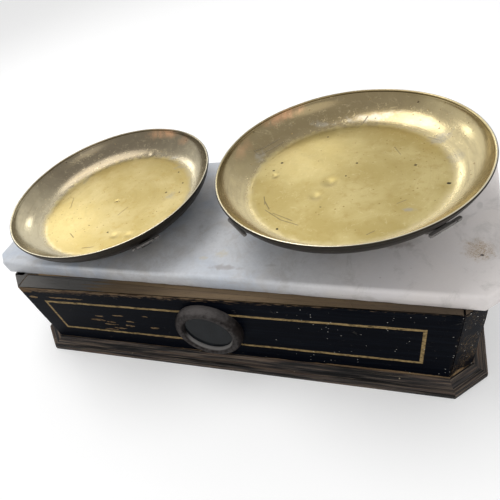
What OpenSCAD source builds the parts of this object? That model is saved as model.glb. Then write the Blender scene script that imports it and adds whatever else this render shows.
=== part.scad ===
// Counter balance with two brass pans on iron spiders, a marble slab on a painted wooden case,
// and a torsion-band parallelogram inside. Units are millimetres.
// Origin: centre of the footprint, on the table. +X is to the right of the window, +Z is up.

/* [Case] */
// Length of the wooden body, end to end
case_len = 435; // [400:5:480]
// Depth of the wooden body, front to back
case_depth = 189; // [180:1:215]
// Height of the wall boards
wall_h = 82; // [80:1:100]
// Leg of the 45 degree cut at each corner of the body
corner_cut = 17.5; // [12:0.5:24]
// Thickness of the front and back boards
board_t = 18; // [14:0.5:20]
// Thickness of the end boards
end_t = 12; // [8:0.5:16]
// Thickness of the top board
top_t = 10; // [6:0.5:11]
// Thickness of the floor board, which the plinth moulding hides
floor_t = 11; // [9:0.5:14]
// How far the plinth moulding stands out
plinth_out = 12; // [8:0.5:16]
// How far each corner post reaches along the boards
post_reach = 14; // [8:1:20]

/* [Slab] */
// How far the marble slab reaches past each end of the body
slab_over = 14; // [2:1:30]
// How much less deep the slab is than the body
slab_less = 20; // [10:1:36]
// Thickness of the marble slab
slab_t = 14; // [12:0.5:18]
// Leg of the cut at each slab corner
slab_cut = 12; // [6:0.5:18]
// Size of the eased upper edge
slab_arris = 3; // [1.5:0.1:4]
// How far the slab has turned on the case, in degrees
slab_skew = 1.9; // [0:0.1:2.5]
// How far the slab sits towards the back
slab_back = 3; // [0:0.5:5]
// How far the slab sits towards the left
slab_left = 3.8; // [0:0.1:5]

/* [Pans] */
// Outside diameter of a pan
pan_d = 204; // [190:1:212]
// Diameter of the flat floor of a pan
pan_floor_d = 152; // [130:1:162]
// Depth of a pan inside
pan_depth = 20; // [16:0.5:26]
// Thickness of the pan sheet
pan_t = 1.2; // [0.8:0.1:2]
// Roundness of a pan's wall in section: 1 is straight, 2 is a quarter ellipse
wall_curve = 1.6; // [1.3:0.1:2]
// Half thickness of the rolled rim
rim_r = 1.1; // [0.9:0.05:1.4]

/* [Spiders] */
// Width of a spider arm
arm_w = 10; // [7:0.5:14]
// Thickness of the strap that an arm is bent from
arm_t = 3; // [2.5:0.1:4]
// Length of the crossbar at the tip of an arm
bar_len = 26; // [18:1:34]
// Width of a crossbar
bar_w = 3; // [2.4:0.1:4]
// Thickness of a crossbar
bar_t = 2; // [1.6:0.1:3]
// Height of a crossbar's top above the underside of the pan
bar_top = 11.5; // [8:0.5:14]
// Diameter of the hub
hub_d = 30; // [24:1:40]
// Height of the hub
hub_h = 13.5; // [11:0.5:18]
// Diameter of a stem
stem_d = 10; // [8:0.5:12]

/* [Beam] */
// Distance from the middle pivot to a stem
arm_len = 113; // [108:0.5:118]
// Tilt of the beam at rest, left side down, in degrees
rest_tilt = 4.46; // [3:0.01:4.6]
// Gap from the slab to a hub when the beam is level
hub_gap = 11; // [10.5:0.5:16]
// Distance between the middles of the two round ends of a truss
truss_span = 80; // [70:1:90]
// Thickness of the torsion band
band_t = 0.4; // [0.3:0.05:0.6]
// Width of the torsion band
band_w = 6; // [4:0.5:7]
// Thickness of a truss
truss_t = 8; // [6.5:0.5:10]
// Thickness of a clamp that holds a band
clamp_t = 4.4; // [3:0.1:5]
// Height of a beam bar
beam_h = 6; // [4:0.5:7]
// Half width of a beam at the middle
beam_mid = 14; // [10:0.5:18]
// Half width of a beam at its ends
beam_end = 8; // [6.5:0.5:10]

/* [Window] */
// Height of the window's centre above the table
window_z = 53; // [50:0.5:56]
// Outside radius of the turned bezel
bezel_r = 32; // [28:0.5:36]
// How far the bezel stands out
bezel_h = 10; // [8:0.5:13]
// Radius of the hole in the front board
window_r = 20; // [16:0.5:22]
// Thickness of the window glass
glass_t = 1.5; // [1:0.1:2.5]

/* [Hidden] */
$fn = 96;
hull_fn = 32;
fit_gap = 0.05;          // between round pieces that are fitted together
twist_gap = 0.35;        // between a band and what turns on it
plinth_h = floor_t;
case_top = plinth_h + wall_h;
slab_top = case_top + slab_t;
ceiling = case_top - top_t;
half_x = case_len / 2;
half_y = case_depth / 2;
lift = arm_len * sin(rest_tilt);     // how far each carrier is from level at rest
pan_r = pan_d / 2;
pan_floor_r = pan_floor_d / 2;
pan_rise = pan_depth + pan_t;        // from the underside of the floor to the rim
wall_run = pan_r - rim_r - pan_floor_r;  // from the edge of the floor to the middle of the rim
pan_gap = 0.4;                       // between a pan's wall and the tip of an arm
seat_gap = 0.02;                     // between a pan's floor and the arms that it lies on
arm_top = slab_top + hub_gap + hub_h;    // where a pan sits, with the beam level
hub_low = arm_top - hub_h;
hub_roof = 3;                        // metal above the stem in a hub
stem_hole_r = stem_d / 2 + 3;        // in the slab and the top board
collar_wall = 2;
slab_len = case_len + 2 * slab_over;
slab_depth = case_depth - slab_less;
yoke_t = wall_h * 3 / 41;
head_room = wall_h * 0.0317;          // between a beam and the yoke above it
roof_gap = wall_h * 0.0263;           // between the higher yoke and the top board
low_gap = wall_h * 0.0525;            // between the lower end of a beam and the floor board
beam_tip = 7.5;                      // how far a beam reaches past a stem
end_drop = lift + beam_tip * sin(rest_tilt);
upper_z = ceiling - roof_gap - lift - yoke_t - head_room - beam_h - twist_gap;  // upper band run
lower_z = plinth_h + low_gap + end_drop + beam_h + twist_gap;                   // lower band run
truss_z = (upper_z + lower_z) / 2;
band_r = (upper_z - lower_z) / 2;    // outside of a band at the round ends
truss_disc_r = band_r - band_t - 0.1;
clamp_gap = band_r * 0.23;           // between a clamp and the web of a truss
web_h = 2 * (band_r - band_t - twist_gap - clamp_t - clamp_gap);
pin_r = 2.5;
cheek_t = 4;
cheek_gap = truss_t / 2 + 0.2;
cheek_w = 12;
cheek_over = 7;                      // how far a cheek reaches past a pin
yoke_low = upper_z + twist_gap + beam_h + head_room;
bed_t = 4;
bed_top = plinth_h + bed_t;
bed_x = 85;
bed_y = 64;
clamp_x = 17;
clamp_y = 10;
clamp_screw_x = 6;
clamp_screw_r = 1.5;
clamp_reach = beam_h + band_t + 2 * twist_gap + clamp_t;  // length of a clamp screw's shank
screw_head_h = 1.2;
stop_x = 70;
stop_r = 5;
stop_gap = 0.3;                      // between a stop pad and the beam that is down
glass_front = bezel_h - 4.5;         // front face of the glass, out from the board
glass_r = window_r + 3.8;
needle_y = -(half_y - board_t - 11);
needle_t = 1;
index_y = needle_y + 5;
index_t = 1;
index_z = window_z - 14;             // middle of the index plate
index_w = 30;
index_h = 16;
bracket_t = 1.5;
pointer_t = 2;
poise_y = 8;
poise_post_r = 2;
poise_lift = 4;                      // between the nut and the beam
poise_h = 5;
bed_screw_x = 74;
bed_screw_y = 52;
bed_screw_r = 2;
bed_screw_bite = 6;
floor_screw_x = 150;
floor_screw_r = 2;
floor_screw_bite = 7;
groove = plinth_h / 11;              // unit of the plinth moulding's section

// Helpers

// Rectangle with its four corners cut at 45 degrees
function cut_rect(hx, hy, c) = [[-hx + c, -hy], [hx - c, -hy], [hx, -hy + c], [hx, hy - c],
    [hx - c, hy], [-hx + c, hy], [-hx, hy - c], [-hx, -hy + c]];

// How much a 45 degree cut grows when its outline moves out by d
function cut_growth(d) = d * (2 - sqrt(2));

// Point on a pan's wall in section: t is 0 at the edge of the floor and 1 at the rim
function wall_point(t, run, rise) = [pan_floor_r + run * pow(sin(90 * t), 2 / wall_curve),
    rise * (1 - pow(cos(90 * t), 2 / wall_curve))];

function outside_point(t) = wall_point(t, wall_run + pan_t / 2, pan_rise);

// Where on the outside of the wall a height is reached
function t_at(h) = acos(pow(1 - h / pan_rise, wall_curve / 2)) / 90;

// Direction that points out of the wall, below the pan
function outward(t) = let (d = outside_point(t + 0.01) - outside_point(t - 0.01)) [d[1], -d[0]] / norm(d);

module along_x(length) rotate([90, 0, 90]) linear_extrude(length, center = true) children();

module along_y(length) rotate([90, 0, 0]) linear_extrude(length, center = true) children();

module four_corners() for (sx = [0, 1], sy = [0, 1]) mirror([sx, 0, 0]) mirror([0, sy, 0]) children();

// What turns with a beam, about the middle of its band run
module tilted(pivot_z) translate([0, 0, pivot_z]) rotate([0, -rest_tilt, 0])
    translate([0, 0, -pivot_z]) children();

// What hangs at one end of the beam: side is -1 for left and 1 for right
module carried(side) translate([side * arm_len, 0, side * lift]) children();

// Case

module wall_board(side) {
    difference() {
        translate([0, side * (half_y - board_t / 2), plinth_h + wall_h / 2])
            cube([2 * (half_x - corner_cut), board_t, wall_h], center = true);
        if (side < 0)
            translate([0, -half_y, window_z]) rotate([90, 0, 0])
                cylinder(r = window_r, h = 3 * board_t, center = true);
        floor_screw_places() cylinder(r = floor_screw_r + fit_gap, h = floor_t + floor_screw_bite + 1);
    }
}

module front_board() color("#15171c") wall_board(-1);

module back_board() color("#15171c") wall_board(1);

module end_board(side) color("#1a1a1e")
    translate([side * (half_x - end_t / 2), 0, plinth_h + wall_h / 2])
        cube([end_t, 2 * (half_y - corner_cut), wall_h], center = true);

module corner_post() {
    inner_x = half_x - end_t;
    inner_y = half_y - board_t;
    reach_x = half_x - corner_cut - post_reach;
    reach_y = half_y - corner_cut - post_reach;
    translate([0, 0, plinth_h]) linear_extrude(wall_h)
        polygon([[half_x - corner_cut, half_y], [half_x, half_y - corner_cut],
            [inner_x, half_y - corner_cut], [inner_x, reach_y], [reach_x, reach_y],
            [reach_x, inner_y], [half_x - corner_cut, inner_y]]);
}

module corner_posts() color("#15171c") four_corners() corner_post();

module top_board() color("#8a6f4c") translate([0, 0, ceiling]) difference() {
    linear_extrude(top_t) union() {
        square([2 * (half_x - corner_cut - post_reach), 2 * (half_y - board_t)], center = true);
        square([2 * (half_x - end_t), 2 * (half_y - corner_cut - post_reach)], center = true);
    }
    for (side = [-1, 1])
        translate([side * arm_len, 0, -1]) cylinder(r = stem_hole_r, h = top_t + 2);
}

module floor_screw_places() for (x = [-floor_screw_x, 0, floor_screw_x], side = [-1, 1])
    translate([x, side * (half_y - board_t / 2), 0]) children();

module floor_screw(gap = 0) {
    head_r = 2 * floor_screw_r;
    translate([0, 0, -gap]) cylinder(r1 = head_r + gap, r2 = floor_screw_r + gap, h = floor_screw_r + gap);
    cylinder(r = floor_screw_r + gap, h = floor_t + floor_screw_bite);
}

module floor_board() color("#7b6142") difference() {
    linear_extrude(floor_t) polygon(cut_rect(half_x, half_y, corner_cut));
    floor_screw_places() floor_screw(fit_gap);
    bed_screw_places() translate([0, 0, -bed_screw_bite]) cylinder(r = bed_screw_r + fit_gap, h = bed_screw_bite + 1);
}

module floor_screws() color("#77736c") floor_screw_places() floor_screw();

// Moulding section: out from the wall, then up. A foot, a bead and a hollow.
function plinth_section() = let (n = 8, bead = 1.4 * groove, step = 0.9 * groove, foot = 3.3 * groove,
        hollow = 6.2 * groove, lip = 1.2 * groove)
    concat([[0, 0], [plinth_out, 0], [plinth_out, foot], [plinth_out - step, foot + 0.4 * groove]],
        [for (i = [0:6]) [plinth_out - step - bead + bead * cos(180 * i / 6 - 90),
            foot + 0.4 * groove + bead + bead * sin(180 * i / 6 - 90)]],
        [for (i = [0:n]) let (a = 90 * i / n)
            [lip + (plinth_out - step - bead - lip - 0.5 * groove) * (1 - sin(a)),
                plinth_h - (plinth_h - hollow) * cos(a)]],
        [[0, plinth_h]]);

// The part of a moulding that lies between two mitres; run is half its length at the wall
module mitred_strip(run) {
    spread = plinth_out * tan(22.5);
    intersection() {
        along_x(2 * (run + spread)) polygon([for (p = plinth_section()) [-p[0], p[1]]]);
        translate([0, 0, -1]) linear_extrude(plinth_h + 2)
            polygon([[-run, 0], [-run - spread, -plinth_out], [run + spread, -plinth_out], [run, 0]]);
    }
}

module plinth_front() color("#3a342e") translate([0, -half_y, 0]) mitred_strip(half_x - corner_cut);

module plinth_back() color("#3a342e") rotate(180) translate([0, -half_y, 0])
    mitred_strip(half_x - corner_cut);

module plinth_end(side) color("#3a342e") rotate(side * 90) translate([0, -half_x, 0])
    mitred_strip(half_y - corner_cut);

module plinth_corners() color("#3a342e") four_corners()
    translate([half_x - corner_cut / 2, -half_y + corner_cut / 2, 0]) rotate(45)
        mitred_strip(corner_cut / sqrt(2));

// Slab

module slab_blank() {
    steps = 4;
    hull() {
        translate([0, 0, case_top])
            linear_extrude(0.01) polygon(slab_outline(0.8));
        for (i = [0:steps])
            let (a = 90 * i / steps)
                translate([0, 0, slab_top - slab_arris + slab_arris * sin(a) - 0.01])
                    linear_extrude(0.01) polygon(slab_outline(slab_arris * (1 - cos(a))));
        translate([0, 0, case_top + 0.8]) linear_extrude(0.01) polygon(slab_outline(0));
    }
}

function slab_outline(inset) = cut_rect(slab_len / 2 - inset, slab_depth / 2 - inset,
    slab_cut - cut_growth(inset));

module marble_slab() color("#dcdcdc") difference() {
    translate([-slab_left, slab_back, 0]) rotate(-slab_skew) slab_blank();
    for (side = [-1, 1])
        translate([side * arm_len, 0, case_top - 1]) cylinder(r = stem_hole_r + collar_wall + fit_gap, h = slab_t + 2);
}

module collar(side) color("#6d5a3a") translate([side * arm_len, 0, case_top]) difference() {
    union() {
        cylinder(r = stem_hole_r + collar_wall, h = slab_t);
        translate([0, 0, slab_t]) cylinder(r = stem_hole_r + 3 * collar_wall, h = 1);
    }
    translate([0, 0, -1]) cylinder(r = stem_hole_r, h = slab_t + 4);
}

// Window

// A ring turned about the window's axis; section is [radius, out from the board]
module turned_on_window(section) translate([0, -half_y, window_z]) rotate([90, 0, 0])
    rotate_extrude() polygon(section);

module window_bezel() {
    n = 10;
    crest_r = bezel_r - 5;
    opening_r = window_r + 1.5;
    rebate_r = glass_r + 0.1;
    lip = glass_front + 0.1;
    outer = [for (i = [0:n]) let (a = 90 * i / n)
        [crest_r + (bezel_r - crest_r) * cos(a), 2.5 + (bezel_h - 2.5) * sin(a)]];
    inner = [for (i = [0:n]) let (a = 90 * i / n)
        [crest_r - (crest_r - opening_r) * sin(a), bezel_h - (bezel_h - lip - 0.6) * (1 - cos(a))]];
    color("#4f4540") turned_on_window(concat([[rebate_r, 0], [bezel_r, 0]], outer, inner,
        [[opening_r, lip], [rebate_r, lip]]));
}

module window_glass() color("#2b3438") turned_on_window(
    [[0, glass_front - glass_t], [glass_r, glass_front - glass_t], [glass_r, glass_front], [0, glass_front]]);

module glass_retainer() color("#4f4540") turned_on_window(
    [[window_r, 0], [glass_r, 0], [glass_r, glass_front - glass_t - 0.05], [window_r, glass_front - glass_t - 0.05]]);

module index_plate() color("#6b6252") translate([0, index_y, index_z])
    cube([index_w, index_t, index_h], center = true);

module index_bracket() {
    bracket_w = 8;
    bracket_h = index_z + index_h / 4 - bed_top;
    color("#4a4640") translate([0, index_y + index_t / 2 + bracket_t / 2, bed_top + bracket_h / 2])
        cube([bracket_w, bracket_t, bracket_h], center = true);
}

// Mechanism, fixed pieces

module bed_screw_places() for (sx = [-1, 1], sy = [-1, 1])
    translate([sx * bed_screw_x, sy * bed_screw_y, plinth_h]) children();

module bed_plate() color("#33352f") difference() {
    translate([0, 0, plinth_h + bed_t / 2]) cube([2 * bed_x, 2 * bed_y, bed_t], center = true);
    bed_screw_places() translate([0, 0, -1]) cylinder(r = bed_screw_r + fit_gap, h = bed_t + 2);
}

module bed_screws() color("#8a8780") bed_screw_places() {
    translate([0, 0, -bed_screw_bite]) cylinder(r = bed_screw_r, h = bed_screw_bite + bed_t + 0.5);
    translate([0, 0, bed_t]) cylinder(r = 2 * bed_screw_r, h = bed_screw_r);
}

module stop_pads() {
    pad_top = lower_z - (beam_h + twist_gap) * cos(rest_tilt) - (stop_x + stop_r) * sin(rest_tilt) - stop_gap;
    color("#5a4632") for (side = [-1, 1])
        translate([side * stop_x, 0, bed_top]) cylinder(r = stop_r, h = pad_top - bed_top);
}

// Section of a truss in its own plane: two round ends joined by a web
module truss_section() difference() {
    union() {
        for (side = [-1, 1]) translate([side * truss_span / 2, 0]) circle(r = truss_disc_r);
        square([truss_span, web_h], center = true);
    }
    for (side = [-1, 1]) translate([side * truss_span / 2, 0]) circle(r = pin_r + fit_gap);
}

module truss() translate([0, 0, truss_z]) along_x(truss_t) truss_section();

module stadium(r) {
    for (side = [-1, 1]) translate([side * truss_span / 2, 0]) circle(r = r);
    square([truss_span, 2 * r], center = true);
}

module band() translate([0, 0, truss_z]) along_x(band_w) difference() {
    stadium(band_r);
    stadium(band_r - band_t);
}

// Two cheeks that straddle a round end of a truss, from one height up to another
module cheeks(low, high) for (side = [-1, 1], end = [-1, 1]) difference() {
    translate([side * (cheek_gap + cheek_t / 2), end * truss_span / 2, (low + high) / 2])
        cube([cheek_t, cheek_w, high - low], center = true);
    translate([0, end * truss_span / 2, truss_z]) rotate([0, 90, 0])
        cylinder(r = pin_r + fit_gap, h = 4 * truss_t, center = true);
}

module pins() for (end = [-1, 1]) translate([0, end * truss_span / 2, truss_z]) rotate([0, 90, 0])
    cylinder(r = pin_r, h = 2 * (cheek_gap + cheek_t) + 2, center = true);

module centre_stands() {
    foot_w = 30;
    color("#33352f") {
        cheeks(bed_top, truss_z + cheek_over);
        for (side = [-1, 1], end = [-1, 1])
            translate([side * (cheek_gap + foot_w / 4), end * truss_span / 2, bed_top + 1.5])
                cube([foot_w / 2, cheek_w, 3], center = true);
    }
}

module centre_truss() color("#3a3c38") truss();

module centre_band() color("#9aa0a4") band();

module centre_pins() color("#8a8780") pins();

// Beams

// A bar that tapers to its ends, with round holes along each half
module beam_outline() difference() {
    shoulder = arm_len - 12;
    waist = 18;
    half = [[waist, beam_mid], [shoulder, beam_end], [arm_len + beam_tip, beam_end],
        [arm_len + beam_tip, -beam_end], [shoulder, -beam_end], [waist, -beam_mid]];
    polygon(concat(half, [for (p = half) -p]));
    for (side = [-1, 1], i = [0:3])
        translate([side * (waist + (shoulder - waist) * (i + 0.7) / 4.2), 0])
            circle(r = beam_mid / 2 - i * 0.07 * beam_mid);
}

module clamp_screw_places() for (x = [-arm_len, 0, arm_len], side = [-1, 1])
    translate([x + side * clamp_screw_x, 0, 0]) children();

module beam_bar(low) difference() {
    translate([0, 0, low]) linear_extrude(beam_h) beam_outline();
    clamp_screw_places() translate([0, 0, low - 1])
        cylinder(r = clamp_screw_r + fit_gap, h = beam_h + 2);
}

module clamp_bars(low) for (x = [-arm_len, 0, arm_len]) difference() {
    translate([x, 0, low + clamp_t / 2]) cube([clamp_x, clamp_y, clamp_t], center = true);
    for (side = [-1, 1]) translate([x + side * clamp_screw_x, 0, low - 1])
        cylinder(r = clamp_screw_r + fit_gap, h = clamp_t + 2);
}

// Screws that draw a clamp to its beam: dir is 1 with the head above, -1 with the head below
module clamp_screws(head_z, dir) clamp_screw_places() translate([0, 0, head_z]) mirror([0, 0, dir < 0 ? 1 : 0]) {
    cylinder(r = 2 * clamp_screw_r, h = screw_head_h);
    translate([0, 0, -clamp_reach]) cylinder(r = clamp_screw_r, h = clamp_reach + 0.01);
}

upper_low = upper_z + twist_gap;
lower_top = lower_z - twist_gap;

module upper_beam() color("#3a3c38") tilted(upper_z) difference() {
    beam_bar(upper_low);
    translate([0, poise_y, upper_low - 1]) cylinder(r = poise_post_r + fit_gap, h = beam_h + 2);
}

module upper_clamps() color("#8a8780") tilted(upper_z) clamp_bars(upper_z - band_t - twist_gap - clamp_t);

module upper_screws() color("#8a8780") tilted(upper_z) clamp_screws(upper_low + beam_h, 1);

// An arm over the front of the middle truss, which holds the needle behind the window
module pointer_arm() {
    pointer_w = 5;
    root = -2 * clamp_screw_r - 2;      // clear of the clamp screws
    tip = needle_y - needle_t;
    color("#8a8780") tilted(upper_z) translate([0, (root + tip) / 2, upper_low + beam_h + pointer_t / 2])
        cube([pointer_w, root - tip, pointer_t], center = true);
}

module pointer_needle() {
    needle_len = upper_low + beam_h - index_z + 2;
    color("#1c1c1c") tilted(upper_z) translate([0, needle_y, upper_low + beam_h]) rotate([90, 0, 0])
        linear_extrude(needle_t, center = true)
            polygon([[-1.6, 0], [1.6, 0], [0.4, -needle_len], [-0.4, -needle_len]]);
}

module poise_post() color("#8a8780") tilted(upper_z) translate([0, poise_y, upper_low])
    cylinder(r = poise_post_r, h = beam_h + poise_lift + poise_h + 3);

module sensitivity_poise() {
    color("#a98d4c") tilted(upper_z) translate([0, poise_y, upper_low + beam_h + poise_lift]) difference() {
        cylinder(r = 4 * poise_post_r, h = poise_h);
        translate([0, 0, -1]) cylinder(r = poise_post_r + fit_gap, h = poise_h + 2);
    }
}

module lower_beam() color("#3a3c38") tilted(lower_z) beam_bar(lower_top - beam_h);

module lower_clamps() color("#8a8780") tilted(lower_z) clamp_bars(lower_z + band_t + twist_gap);

module lower_screws() color("#8a8780") tilted(lower_z) clamp_screws(lower_top - beam_h, -1);

// Carriers, one at each end of the beams

module side_truss(side) color("#3a3c38") carried(side) truss();

module side_band(side) color("#9aa0a4") carried(side) band();

module side_pins(side) color("#8a8780") carried(side) pins();

module yoke(side) color("#3a3c38") carried(side) difference() {
    union() {
        cheeks(truss_z - cheek_over, yoke_low + yoke_t / 2);
        translate([0, 0, yoke_low + yoke_t / 2])
            cube([2 * (cheek_gap + cheek_t), truss_span + cheek_w, yoke_t], center = true);
    }
    translate([0, 0, yoke_low - 1]) cylinder(r = stem_d / 2 + fit_gap, h = yoke_t + 2);
}

module stem(side) color("#5b5750") carried(side)
    translate([0, 0, yoke_low]) cylinder(d = stem_d, h = arm_top - hub_roof - yoke_low);

// Side view of one arm: flat below the floor of the pan, then bent up along its wall
module arm_profile() {
    n = 8;
    tip = t_at(bar_top);
    steps = [for (i = [0:n]) 0.05 + (tip - 0.05) * i / n];
    upper = [for (t = steps) outside_point(t) + outward(t) * pan_gap];
    lower = [for (i = [n:-1:0]) upper[i] + outward(steps[i]) * arm_t];
    polygon(concat([[0, -arm_t], [0, 0], [pan_floor_r, 0]], upper, lower, [[pan_floor_r, -arm_t]]));
}

// The bar across the tip of an arm, which the pan's wall leans on
module crossbar() translate([outside_point(t_at(bar_top))[0] + pan_gap + bar_w / 2, 0, bar_top - bar_t])
    linear_extrude(bar_t) {
        square([bar_w, bar_len - bar_w], center = true);
        for (side = [-1, 1]) translate([0, side * (bar_len - bar_w) / 2]) circle(d = bar_w);
    }

module spider_arm() translate([0, 0, arm_top]) {
    rotate([90, 0, 0]) linear_extrude(arm_w, center = true) arm_profile();
    crossbar();
}

module spider(side) color("#2a2826") carried(side) difference() {
    union() {
        translate([0, 0, hub_low]) cylinder(d = hub_d, h = hub_h);
        for (a = [45:90:315]) rotate(a) spider_arm();
    }
    translate([0, 0, hub_low - 1]) cylinder(r = stem_d / 2 + fit_gap, h = hub_h - hub_roof + 1);
    set_screw_hole(fit_gap);
}

module set_screw_hole(gap = 0) translate([0, -stem_d / 2 - fit_gap, hub_low + 4.5]) rotate([90, 0, 0])
    cylinder(r = 1.75 + gap, h = hub_d / 2 - stem_d / 2 + 2);

module set_screw(side) color("#8a8780") carried(side) set_screw_hole();

// Pans

// Sheet section: flat floor, curved wall, rolled rim
module pan_section() {
    n = 14;
    outer = [for (i = [0:n]) outside_point(i / n)];
    inner = [for (i = [n:-1:0]) wall_point(i / n, wall_run - pan_t / 2, pan_depth) + [0, pan_t]];
    polygon(concat([[0, 0]], outer, inner, [[0, pan_t]]));
    translate([pan_r - rim_r, pan_rise]) circle(r = rim_r, $fn = 24);
}

module pan(side) color("#c2a24f") carried(side) translate([0, 0, arm_top + seat_gap])
    rotate_extrude($fn = 144) pan_section();

front_board();
back_board();
end_board(-1);  // left_end_board
end_board(1);  // right_end_board
corner_posts();
top_board();
floor_board();
floor_screws();
plinth_front();
plinth_back();
plinth_end(-1);  // plinth_left
plinth_end(1);  // plinth_right
plinth_corners();
marble_slab();
collar(-1);  // left_collar
collar(1);  // right_collar
window_bezel();
window_glass();
glass_retainer();
index_plate();
index_bracket();
bed_plate();
bed_screws();
stop_pads();
centre_stands();
centre_truss();
centre_band();
centre_pins();
upper_beam();
upper_clamps();
upper_screws();
pointer_arm();
pointer_needle();
poise_post();
sensitivity_poise();
lower_beam();
lower_clamps();
lower_screws();
side_truss(-1);  // left_truss
side_band(-1);  // left_band
yoke(-1);  // left_yoke
side_pins(-1);  // left_pins
stem(-1);  // left_stem
spider(-1);  // left_spider
set_screw(-1);  // left_set_screw
pan(-1);  // left_pan
side_truss(1);  // right_truss
side_band(1);  // right_band
yoke(1);  // right_yoke
side_pins(1);  // right_pins
stem(1);  // right_stem
spider(1);  // right_spider
set_screw(1);  // right_set_screw
pan(1);  // right_pan
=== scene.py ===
# Counter balance: two brass pans on iron spiders, a marble slab and a painted case.
# Lengths in the settings are millimetres in the model's own frame, and meshes are written in metres.

import math

import bmesh
import bpy
import numpy as np
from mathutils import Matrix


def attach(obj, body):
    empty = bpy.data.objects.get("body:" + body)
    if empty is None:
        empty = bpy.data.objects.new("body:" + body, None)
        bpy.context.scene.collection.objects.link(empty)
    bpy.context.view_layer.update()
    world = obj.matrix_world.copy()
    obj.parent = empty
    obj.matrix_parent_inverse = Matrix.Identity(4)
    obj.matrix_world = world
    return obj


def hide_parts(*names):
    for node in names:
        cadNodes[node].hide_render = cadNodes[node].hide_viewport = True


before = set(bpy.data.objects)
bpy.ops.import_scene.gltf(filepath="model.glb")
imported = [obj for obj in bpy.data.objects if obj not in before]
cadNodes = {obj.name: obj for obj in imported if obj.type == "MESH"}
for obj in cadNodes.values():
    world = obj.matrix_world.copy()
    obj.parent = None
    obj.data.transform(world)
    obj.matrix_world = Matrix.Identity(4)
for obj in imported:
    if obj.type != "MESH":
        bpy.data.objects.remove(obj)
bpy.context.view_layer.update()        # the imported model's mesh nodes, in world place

print("frame loaded:", len(cadNodes), "nodes")


# surfaces

def smoothRise(low, high, x):
    # 0 below low, 1 above high, three t squared less two t cubed between
    t = np.clip((x - low) / (high - low), 0, 1)
    return t * t * (3 - 2 * t)


def latticeNoise(points, size, seed):
    # random values on a cubic lattice of that size, blended with smooth weights between the eight
    # corners of a cell
    table = np.random.default_rng(seed).random((19, 19, 19))
    place = points / size
    cell = np.floor(place).astype(int)
    part = place - cell
    part = part * part * (3 - 2 * part)
    total = 0
    for corner in range(8):
        step = np.array([corner & 1, corner >> 1 & 1, corner >> 2 & 1])
        at = (cell + step) % 19
        weight = np.prod(np.where(step, part, 1 - part), axis=-1)
        total = total + weight * table[at[..., 0], at[..., 1], at[..., 2]]
    return total * 2 - 1


def gridFaces(rows, cols, first, closedRows):
    # one quad between each pair of neighbouring rows and columns; the columns always close on themselves
    index = first + np.arange(rows * cols).reshape(rows, cols)
    low = index if closedRows else index[:-1]
    high = np.roll(index, -1, axis=0) if closedRows else index[1:]
    quads = np.stack([low, np.roll(low, -1, axis=1), np.roll(high, -1, axis=1), high], axis=-1)
    return quads.reshape(-1, 4).tolist()


def surfaceMesh(name, shells):
    # each shell is a grid of points, rows by columns, with its ends drawn to a point, joined up, or
    # capped flat
    points, faces, fields = [], [], {}
    first = 0
    for shell in shells:
        rows, cols = shell["grid"].shape[:2]
        points.append(shell["grid"].reshape(-1, 3))
        for key in ("edgeGap", "inside", "along", "across"):
            field = shell.get(key, 50.0 if key == "edgeGap" else 0.0)
            fields.setdefault(key, []).append(np.broadcast_to(field, (rows, cols)).reshape(-1))
        faces += gridFaces(rows, cols, first, shell.get("closedRows", False))
        if shell.get("capped"):
            faces.append(list(range(first, first + cols)))
            faces.append(list(range(first + (rows - 1) * cols, first + rows * cols)))
        first += rows * cols
    mesh = bpy.data.meshes.new(name)
    mesh.from_pydata((np.concatenate(points) * 0.001).tolist(), [], faces)
    for key, parts in fields.items():
        field = mesh.attributes.new(key, "FLOAT", "POINT")
        field.data.foreach_set("value", np.concatenate(parts).astype(np.float32))
    work = bmesh.new()
    work.from_mesh(mesh)
    bmesh.ops.remove_doubles(work, verts=work.verts, dist=2e-6)
    bmesh.ops.recalc_face_normals(work, faces=work.faces)
    work.to_mesh(mesh)
    work.free()
    return mesh


def smoothShade(mesh, degrees):
    mesh.shade_smooth()
    mesh.set_sharp_from_angle(angle=math.radians(degrees))


def newObject(name, data):
    made = bpy.data.objects.new(name, data)
    bpy.context.scene.collection.objects.link(made)
    return made


def placePiece(name, mesh, body, replaced, material, degrees=35):
    smoothShade(mesh, degrees)
    piece = newObject(name, mesh)
    mesh.materials.clear()
    mesh.materials.append(material)
    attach(piece, body)
    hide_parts(*replaced)
    return piece


def drilled(mesh, cutters):
    # the mesh less each cutter's volume
    piece = newObject(mesh.name, mesh)
    made = []
    for i, cutter in enumerate(cutters):
        tool = newObject("cutter%d" % i, cutter)
        cut = piece.modifiers.new("cut%d" % i, "BOOLEAN")
        cut.operation = "DIFFERENCE"
        cut.solver = "EXACT"
        cut.object = tool
        made.append(tool)
    bpy.context.view_layer.update()
    result = bpy.data.meshes.new_from_object(piece.evaluated_get(bpy.context.evaluated_depsgraph_get()))
    for old in made + [piece]:
        bpy.data.objects.remove(old)
    return result


def turnedPoints(points, degrees, shift):
    # turned about the upright axis, then moved
    a = math.radians(degrees)
    turn = np.array([[math.cos(a), math.sin(a), 0], [-math.sin(a), math.cos(a), 0], [0, 0, 1]])
    return points @ turn + np.array(shift)


def revolved(profile, turns):
    # radius times cosine and sine of the angle, at the profile's height: rows follow the profile,
    # columns the angle
    angle = np.linspace(0, 2 * np.pi, turns, endpoint=False)
    radius, height = profile[:, :1], np.repeat(profile[:, 1:2], turns, axis=1)
    return np.stack([radius * np.cos(angle), radius * np.sin(angle), height], axis=-1)


def filledPath(corners, step):
    # points at most one step apart along straight pieces between the corners
    corners = np.array(corners, float)
    parts = []
    for start, end in zip(corners[:-1], corners[1:]):
        n = max(1, int(math.ceil(np.linalg.norm(end - start) / step)))
        parts.append(start + (end - start) * np.linspace(0, 1, n, endpoint=False)[:, None])
    return np.concatenate(parts + [corners[-1:]])


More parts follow.
